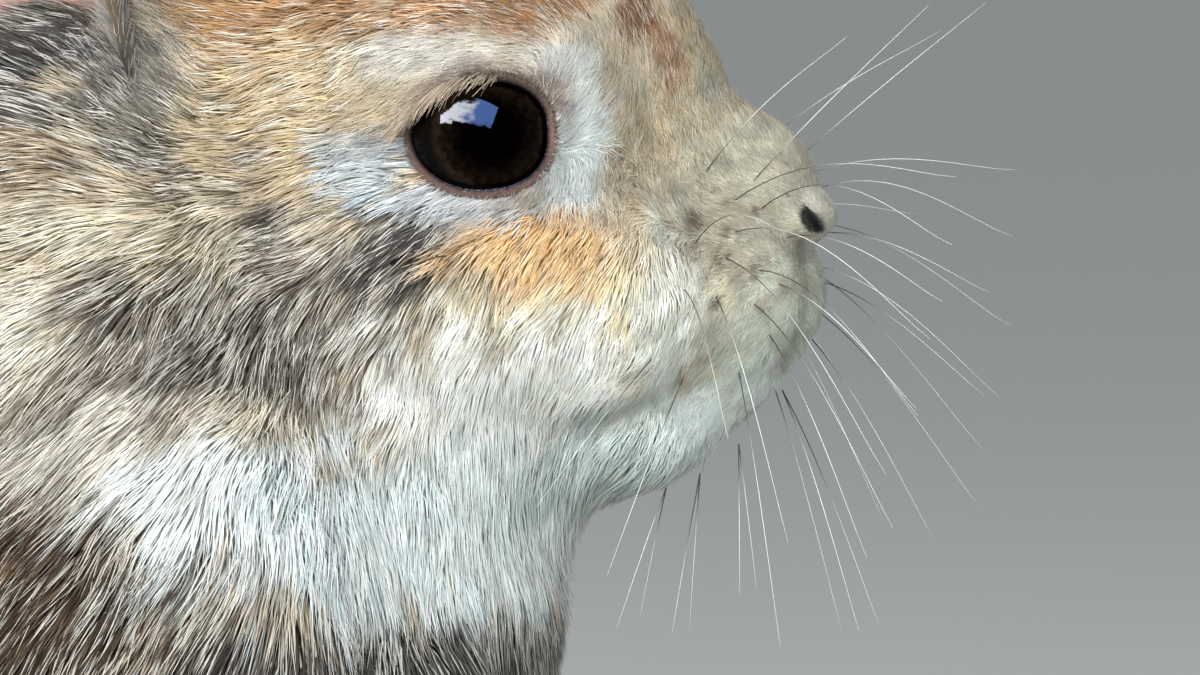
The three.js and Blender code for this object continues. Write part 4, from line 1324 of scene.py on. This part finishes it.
def lid(name, side):
    """The roll of one pair of lids: the section carried round the opening, wider at the front corner."""
    turn = np.arange(LID_STEPS) / LID_STEPS * math.tau
    corner = np.exp(-((np.minimum(turn, math.tau - turn) + 0.12) / 0.32) ** 2)
    rows, tints = [], []
    above = smooth(-0.25, 0.45, np.sin(turn) - 0.35 * np.cos(turn))[:, None]
    ground = LID_PINK + above * (LID_GREY - LID_PINK)
    ground = ground + corner[:, None] * 0.8 * (LID_ROSE - ground)
    for degrees, height, bare in LID_SECTION:
        wide = 1 + 0.5 * corner if degrees > 0 else 1.0
        points = around_the_eye(side, turn, degrees * wide, np.full(LID_STEPS, height))
        rows.append(points)
        furred = marking(points)[:, :3]
        tint = furred + bare * (ground - furred)
        # painted shade where the roll tucks against the eyeball
        wet = smooth(1.0, -1.2, degrees)
        tints.append(tint + wet * (LID_TUCK_SHADE - tint))
    faces = [quad[::-side] for quad in between_rings(len(rows), LID_STEPS, closed=True)]
    made = piece(name, np.concatenate(rows), faces, BARE_SKIN)
    give(made.data, "tint", np.concatenate(tints))
    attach(made, "root")


for name, side in SIDES.items():
    lid("lid_" + name, side)

# %% [markdown]
# ## Lashes and whiskers
# Lashes are short and sandy, rooted above the upper lid, and they sweep back over the rear corner. Whiskers are
# long, stiff and tapered, dark at the root and white at the tip, in rows along the upper lip, with a few on the chin
# and one on the cheek. Both are swept like the fur, the whiskers with a rounder section as they are seen one by one.

# %% Lashes
def bent(roots, ways, bends, lengths, steps):
    """Smooth curved paths: each leaves along its way and is turned by its bend as it grows."""
    shares = np.linspace(0, 1, steps)[None, :, None]
    long = lengths[:, None, None]
    return roots[:, None] + long * (ways[:, None] * shares + bends[:, None] * shares**2)


def lashes(name, side, count=560):
    """Pale lashes rooted on the upper lid, which hang back and down over its edge."""
    _, front, top = eye_axes(side)
    steps, thick, softness = 6, np.full(count, 0.09), 0.3
    turn = np.radians(rng.uniform(66, 170, count))
    roots = around_the_eye(side, turn, rng.uniform(3, 10, count), np.full(count, 0.55))
    outwards = unit(roots - EYE_MIDDLE * (1, side, 1))
    back = -front * 0.55 - top * rng.uniform(0.5, 0.95, (count, 1))
    ways = unit(outwards * 0.3 + back + rng.normal(0, 0.1, (count, 3)))
    path = bent(roots, ways, np.tile(-top * 0.25, (count, 1)), rng.uniform(1.8, 3.9, count), steps)
    # lashes darken towards the root: painted shade of the lid and lashes over them
    shade = np.linspace(0.35, 1.15, steps)[None, :, None]
    tints = linear("c4b19c") * shade * rng.uniform(0.35, 1.3, (count, 1, 1))
    leans = np.repeat(outwards[:, None], steps, axis=1)
    taper = np.linspace(1, 0.25, steps)
    places = nearest_places(roots)
    made = swept(name, path, leans, taper, thick, tints, places, WHISKER_HORN, FUR_SWEEP, softness)
    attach(made, "root")


def lid_fuzz(name, side, count=6500):
    """Short fine hairs that grow outwards from the furred edge of the lids and hide where the bare skin ends."""
    _, front, top = eye_axes(side)
    turn = rng.uniform(0, math.tau, count)
    beyond = 1.5 + 10 * rng.random(count)
    roots = around_the_eye(side, turn, beyond, np.full(count, 0.5))
    outwards = unit(roots - EYE_MIDDLE * (1, side, 1))
    radial = front * np.cos(turn)[:, None] + top * np.sin(turn)[:, None]
    ways = unit(radial + outwards * 0.35 - front * 0.35 + rng.normal(0, 0.28, (count, 3)))
    lengths = rng.uniform(0.6, 1.5, count) * (0.6 + 0.06 * beyond)
    path = bent(roots, ways, -outwards * 0.25, lengths, 2)
    bare = LID_PINK + smooth(-0.2, 0.5, np.sin(turn))[:, None] * (LID_GREY - LID_PINK)
    furred = marking(roots + radial * 1.2)[:, :3]
    share = smooth(0.5, 7.5, beyond + rng.normal(0, 3.5, count))[:, None]
    # each is darker at its root in painted shade, and lighter at its tip
    tints = (bare + share * (furred - bare))[:, None] * np.array([0.85, 1.2])[None, :, None]
    tints = np.clip(tints * rng.uniform(0.6, 1.45, (count, 1, 1)), 0, 0.95)
    leans = np.repeat(outwards[:, None], 2, axis=1)
    made = swept(name, path, leans, TAPER[2], np.full(count, 0.07), tints, nearest_places(roots), GUARD_HAIR)
    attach(made, "root")


def horn_hair():
    """The stuff of whiskers and lashes: smooth, a little glossy."""
    made, tree, shader = material("whisker", {"Roughness": 0.35})
    # lighter and darker stretches of 1 to 2 mm along a hair
    painted(tree, shader, ranged(tree, noise(tree, 700.0, 2.0), (0, 1), (0.8, 1.2)))
    return made


WHISKER_HORN = horn_hair()
for name, side in SIDES.items():
    lashes("lashes_" + name, side)
    lid_fuzz("coat_lids_" + name, side)

# %% Whiskers
WHISKERS = [
    # root ahead and up; then how far the tip lies ahead, to the side and up; how far the middle is bowed upwards
    (26.5, 79.0, 25, 9, 3, 3.5),
    (28.5, 81.0, 20, 9, 18, 0.5),
    (29.2, 78.2, 22, 10, -3, 5.0),
    (26.9, 76.0, 23, 12, -10, 4.5),
    (29.9, 72.4, 19, 12, -14, 3.5),
    (26.4, 73.8, 20, 15, -21, 4.0),
    (26.1, 69.8, 10, 12, -24, 2.5),
    (29.5, 69.2, 17, 12, -22, 3.0),
    (24.0, 82.0, 18, 16, 14, 1.5),
    (23.8, 75.0, 14, 22, 2, 3.0),
    (23.2, 70.5, 9, 20, -14, 3.0),
    (31.5, 75.5, 18, 8, -6, 2.5),
    (31.8, 71.0, 16, 9, -12, 2.0),
    (30.8, 66.0, 12, 9, -22, 2.0),
    (27.5, 62.0, 6, 8, -27, 1.5),
    (22.5, 62.0, -6, 9, -20, 0.5),
    (20.5, 64.0, -10, 10, -15, 0.5),
    (30.5, 60.0, 9, 5, -24, 1.5),
    (26.0, 54.5, 1, 4, -15, 0.5),  # three on the chin
    (22.0, 51.5, -2, 4, -16, 0.3),
    (18.5, 50.0, -4, 5, -14, 0.3),
    (1.0, 74.0, -6, 16, -6, 1.5),  # one on the cheek
]


def surface_side(ahead, up, sunk=0.7):
    """How far to the side the coat's outline lies, less what a root is sunk, for one given from the side view."""
    reach = np.linspace(30, 0, 301)
    probe = np.column_stack([np.full(len(reach), ahead), reach, np.full(len(reach), up)])
    inside = outline(probe) < -sunk
    return reach[np.argmax(inside)] if inside.any() else 0.0


def whiskers(name, side):
    """All the whiskers of one side; each is bowed upwards in the middle and dark at its root."""
    ahead, up, dx, dy, dz, bows = np.array(WHISKERS).T
    roots = np.column_stack([ahead, [side * surface_side(*place) for place in zip(ahead, up)], up])
    tips = roots + np.column_stack([dx, side * dy, dz])
    count, steps = len(roots), 14
    shares = np.linspace(0, 1, steps)
    lifted = 4 * shares * (1 - shares) ** 1.4
    path = roots[:, None] + (tips - roots)[:, None] * shares[None, :, None]
    path[:, :, 2] += bows[:, None] * lifted[None]
    turns_white = rng.uniform(0.15, 0.5, (count, 1))
    shade = smooth(turns_white - 0.15, turns_white + 0.3, shares[None])[..., None]
    tints = linear("4c4138") + shade * (linear("dcdad2") - linear("4c4138"))
    leans = np.tile(unit(np.array([0.2, side, 0.3])), (count, steps, 1))
    taper = 1 - 0.8 * shares**0.8
    thick = np.full(count, 0.14)
    made = swept(name, path, leans, taper, thick, tints, nearest_places(roots), WHISKER_HORN, WHISKER_SWEEP, 0.0)
    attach(made, "root")
    return made


for name, side in SIDES.items():
    fan = whiskers("whiskers_" + name, side)
    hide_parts(*[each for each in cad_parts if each.startswith("whisker") and each.endswith(name)])

# %% [markdown]
# ## Claws
# Four blunt claws on each foot, of banded horn, mostly hidden by the fur of the toes.

# %% Claws
def claw_material():
    """Horn with fine bands of growth along it."""
    made, tree, shader = material("claw_horn", {"Roughness": 0.3})
    where = node(tree, "ShaderNodeTexCoord").outputs["Object"]
    bands = {"Vector": where, "Scale": 900.0, "Distortion": 3.0}
    growth = node(tree, "ShaderNodeTexWave", {"bands_direction": "X"}, bands)
    horn = ramped(tree, growth.outputs["Fac"], [(0.0, "6d5a49"), (1.0, "a08a72")])
    tree.links.new(horn, shader.inputs["Base Color"])
    return made


CLAW_HORN = claw_material()


def claws(name, side, toes, length, radius):
    """The four claws of a foot, each a cone that bends down, from rings with closed ends."""
    points, faces = [], []
    rings, steps = 9, 12
    toe_front, middle, pitch = toes
    for across in (-1.5, -0.5, 0.5, 1.5):
        base = np.array([toe_front - 1.6 * across * across + 3.6, side * (middle + across * pitch), 5.4])
        start = len(points)
        for ring in range(rings):
            share = ring / (rings - 1)
            centre = base + (length * share, 0, -3.6 * share**1.8)
            size = radius * (1 - share**2.2) + 0.08
            for i in range(steps):
                a = i / steps * math.tau
                points.append(centre + (0, 0.72 * size * math.cos(a), size * math.sin(a)))
        faces += between_rings(rings, steps, start)
        faces.append(tuple(range(start + steps - 1, start - 1, -1)))
        last = start + (rings - 1) * steps
        faces.append(tuple(range(last, last + steps)))
    made = piece(name, points, faces, CLAW_HORN)
    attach(made, "root")


for name, side in SIDES.items():
    claws("claws_fore_" + name, side, FORE_TOES, 7.4, 1.0)
    claws("claws_hind_" + name, side, HIND_TOES, 8.0, 1.2)

# %% [markdown]
# ## Studio
# The stand-in for a museum's studio: a plain pale floor, a wide soft light from the viewer's upper left, a weaker
# one from the front, and a pale room that fills the shadows. A light with the look of a sky shines on the eyes alone
# and gives them their sharp reflection.

# %% Floor, light and camera
def pale_floor():
    """A plain flat floor, 32 m wide, so that it ends far behind the animal."""
    made, tree, shader = material("studio_paper", {"Base Color": (*linear("b9bab4"), 1), "Roughness": 0.85})
    bumped(tree, shader, noise(tree, 600.0, 3.0), 0.1, 0.3 * MM)
    reach = 16000.0
    points = [(x, y, 0.0) for x in (-reach, reach) for y in (-reach, reach)]
    return piece("floor", points, [(0, 2, 3, 1)], made)


floor = pale_floor()
floor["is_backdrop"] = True

CAMERA_AZIMUTH, CAMERA_HEIGHT = math.radians(13), math.radians(2)  # the view from the animal's right
eye_right = np.array([EYE_AHEAD, -EYE_SIDE - 4.6, EYE_HEIGHT])
RIGHT = np.array([math.cos(CAMERA_AZIMUTH), math.sin(CAMERA_AZIMUTH), 0])
LEVEL = np.array([math.sin(CAMERA_AZIMUTH), -math.cos(CAMERA_AZIMUTH), 0])
BACK = LEVEL * math.cos(CAMERA_HEIGHT) + (0, 0, math.sin(CAMERA_HEIGHT))
UP = np.cross(BACK, RIGHT)
AIM = eye_right + 12.0 * RIGHT - 20.25 * UP
DISTANCE, FRAME_WIDTH, LAMP_DISTANCE = 1400.0, 120.0, 900  # mm

lens = bpy.data.cameras.new("camera")
lens.sensor_width = 36
lens.lens = lens.sensor_width * DISTANCE / FRAME_WIDTH
camera = bpy.data.objects.new("camera", lens)
camera.location = to_metres(AIM + BACK * DISTANCE)
camera.rotation_euler = Matrix([RIGHT, UP, BACK]).transposed().to_euler()
bpy.context.scene.collection.objects.link(camera)
bpy.context.scene.camera = camera


def soft_light(name, aim, away, wide, high, power, colour):
    """An area light that shines on a point from a direction given to the right, up and back of the camera."""
    towards = unit(RIGHT * away[0] + UP * away[1] + BACK * away[2])
    lamp = bpy.data.lights.new(name, "AREA")
    lamp.shape, lamp.size, lamp.size_y = "RECTANGLE", wide, high
    lamp.energy, lamp.color = power, colour
    made = bpy.data.objects.new(name, lamp)
    made.location = to_metres(aim + towards * LAMP_DISTANCE)
    made.rotation_euler = Vector(towards).to_track_quat("Z", "Y").to_euler()
    bpy.context.scene.collection.objects.link(made)
    return made


def sky_through(lamp):
    """Gives a light the look of a sky: white cloud at one end, blue at the other, a ragged lower edge."""
    lamp.use_nodes = True
    tree = lamp.node_tree
    glow = tree.nodes["Emission"]
    where = node(tree, "ShaderNodeNewGeometry").outputs["Parametric"]
    split = node(tree, "ShaderNodeSeparateXYZ", {}, {"Vector": where})
    ragged = maths(tree, "MULTIPLY_ADD", noise(tree, 4.5, 4.0, where), 0.7, -0.35)
    across = maths(tree, "ADD", split.outputs["X"], ragged)
    sky_colour = ramped(tree, across, [(0.4, "f2f6ff"), (0.62, "5a7cc0")])
    # it fades out at its lower edge and along a slanting upper one
    above = maths(tree, "ADD", split.outputs["Y"], ragged)
    below = maths(tree, "SUBTRACT", maths(tree, "MULTIPLY_ADD", across, 0.9, 0.62), split.outputs["Y"])
    edge = ranged(tree, maths(tree, "MINIMUM", above, below), (0.13, 0.25), (0, 1), "SMOOTHSTEP")
    tree.links.new(scaled(tree, sky_colour, edge), glow.inputs["Color"])


window = soft_light("window", eye_right, (-0.58, 0.5, 0.64), 1.7, 0.62, 14.5, (1.0, 1.0, 1.0))
front = soft_light("front", eye_right, (0.1, -0.3, 1.0), 1.1, 0.9, 24, (0.93, 1.0, 0.97))
window.visible_glossy = front.visible_glossy = False
sky = soft_light("sky", eye_right, (-0.55, 0.5, 0.72), 1.5, 0.72, 900, (1.0, 1.0, 1.0))
sky.visible_diffuse = False
sky_through(sky.data)
# the bright sky is only for the wet eyes; on the fur it would be a glare
wet = bpy.data.collections.new("wet")
bpy.context.scene.collection.children.link(wet)
for ball in EYEBALLS:
    wet.objects.link(ball)
sky.light_linking.receiver_collection = wet
world = bpy.data.worlds.new("room")
world.use_nodes = True
world.cycles_visibility.glossy = False
floor.visible_glossy = False
room = world.node_tree.nodes["Background"]
room.inputs["Color"].default_value = (*linear("dfe4ea"), 1)
room.inputs["Strength"].default_value = 0.79
bpy.context.scene.world = world
bpy.context.scene.view_settings.view_transform = "Standard"

# %% Both boxes, printed
size = {"cad": cad_box, "visual": [list(corner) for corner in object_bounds()]}
for which, (low, high) in size.items():
    print(which, [round(v / MM, 1) for v in low], [round(v / MM, 1) for v in high], "mm")
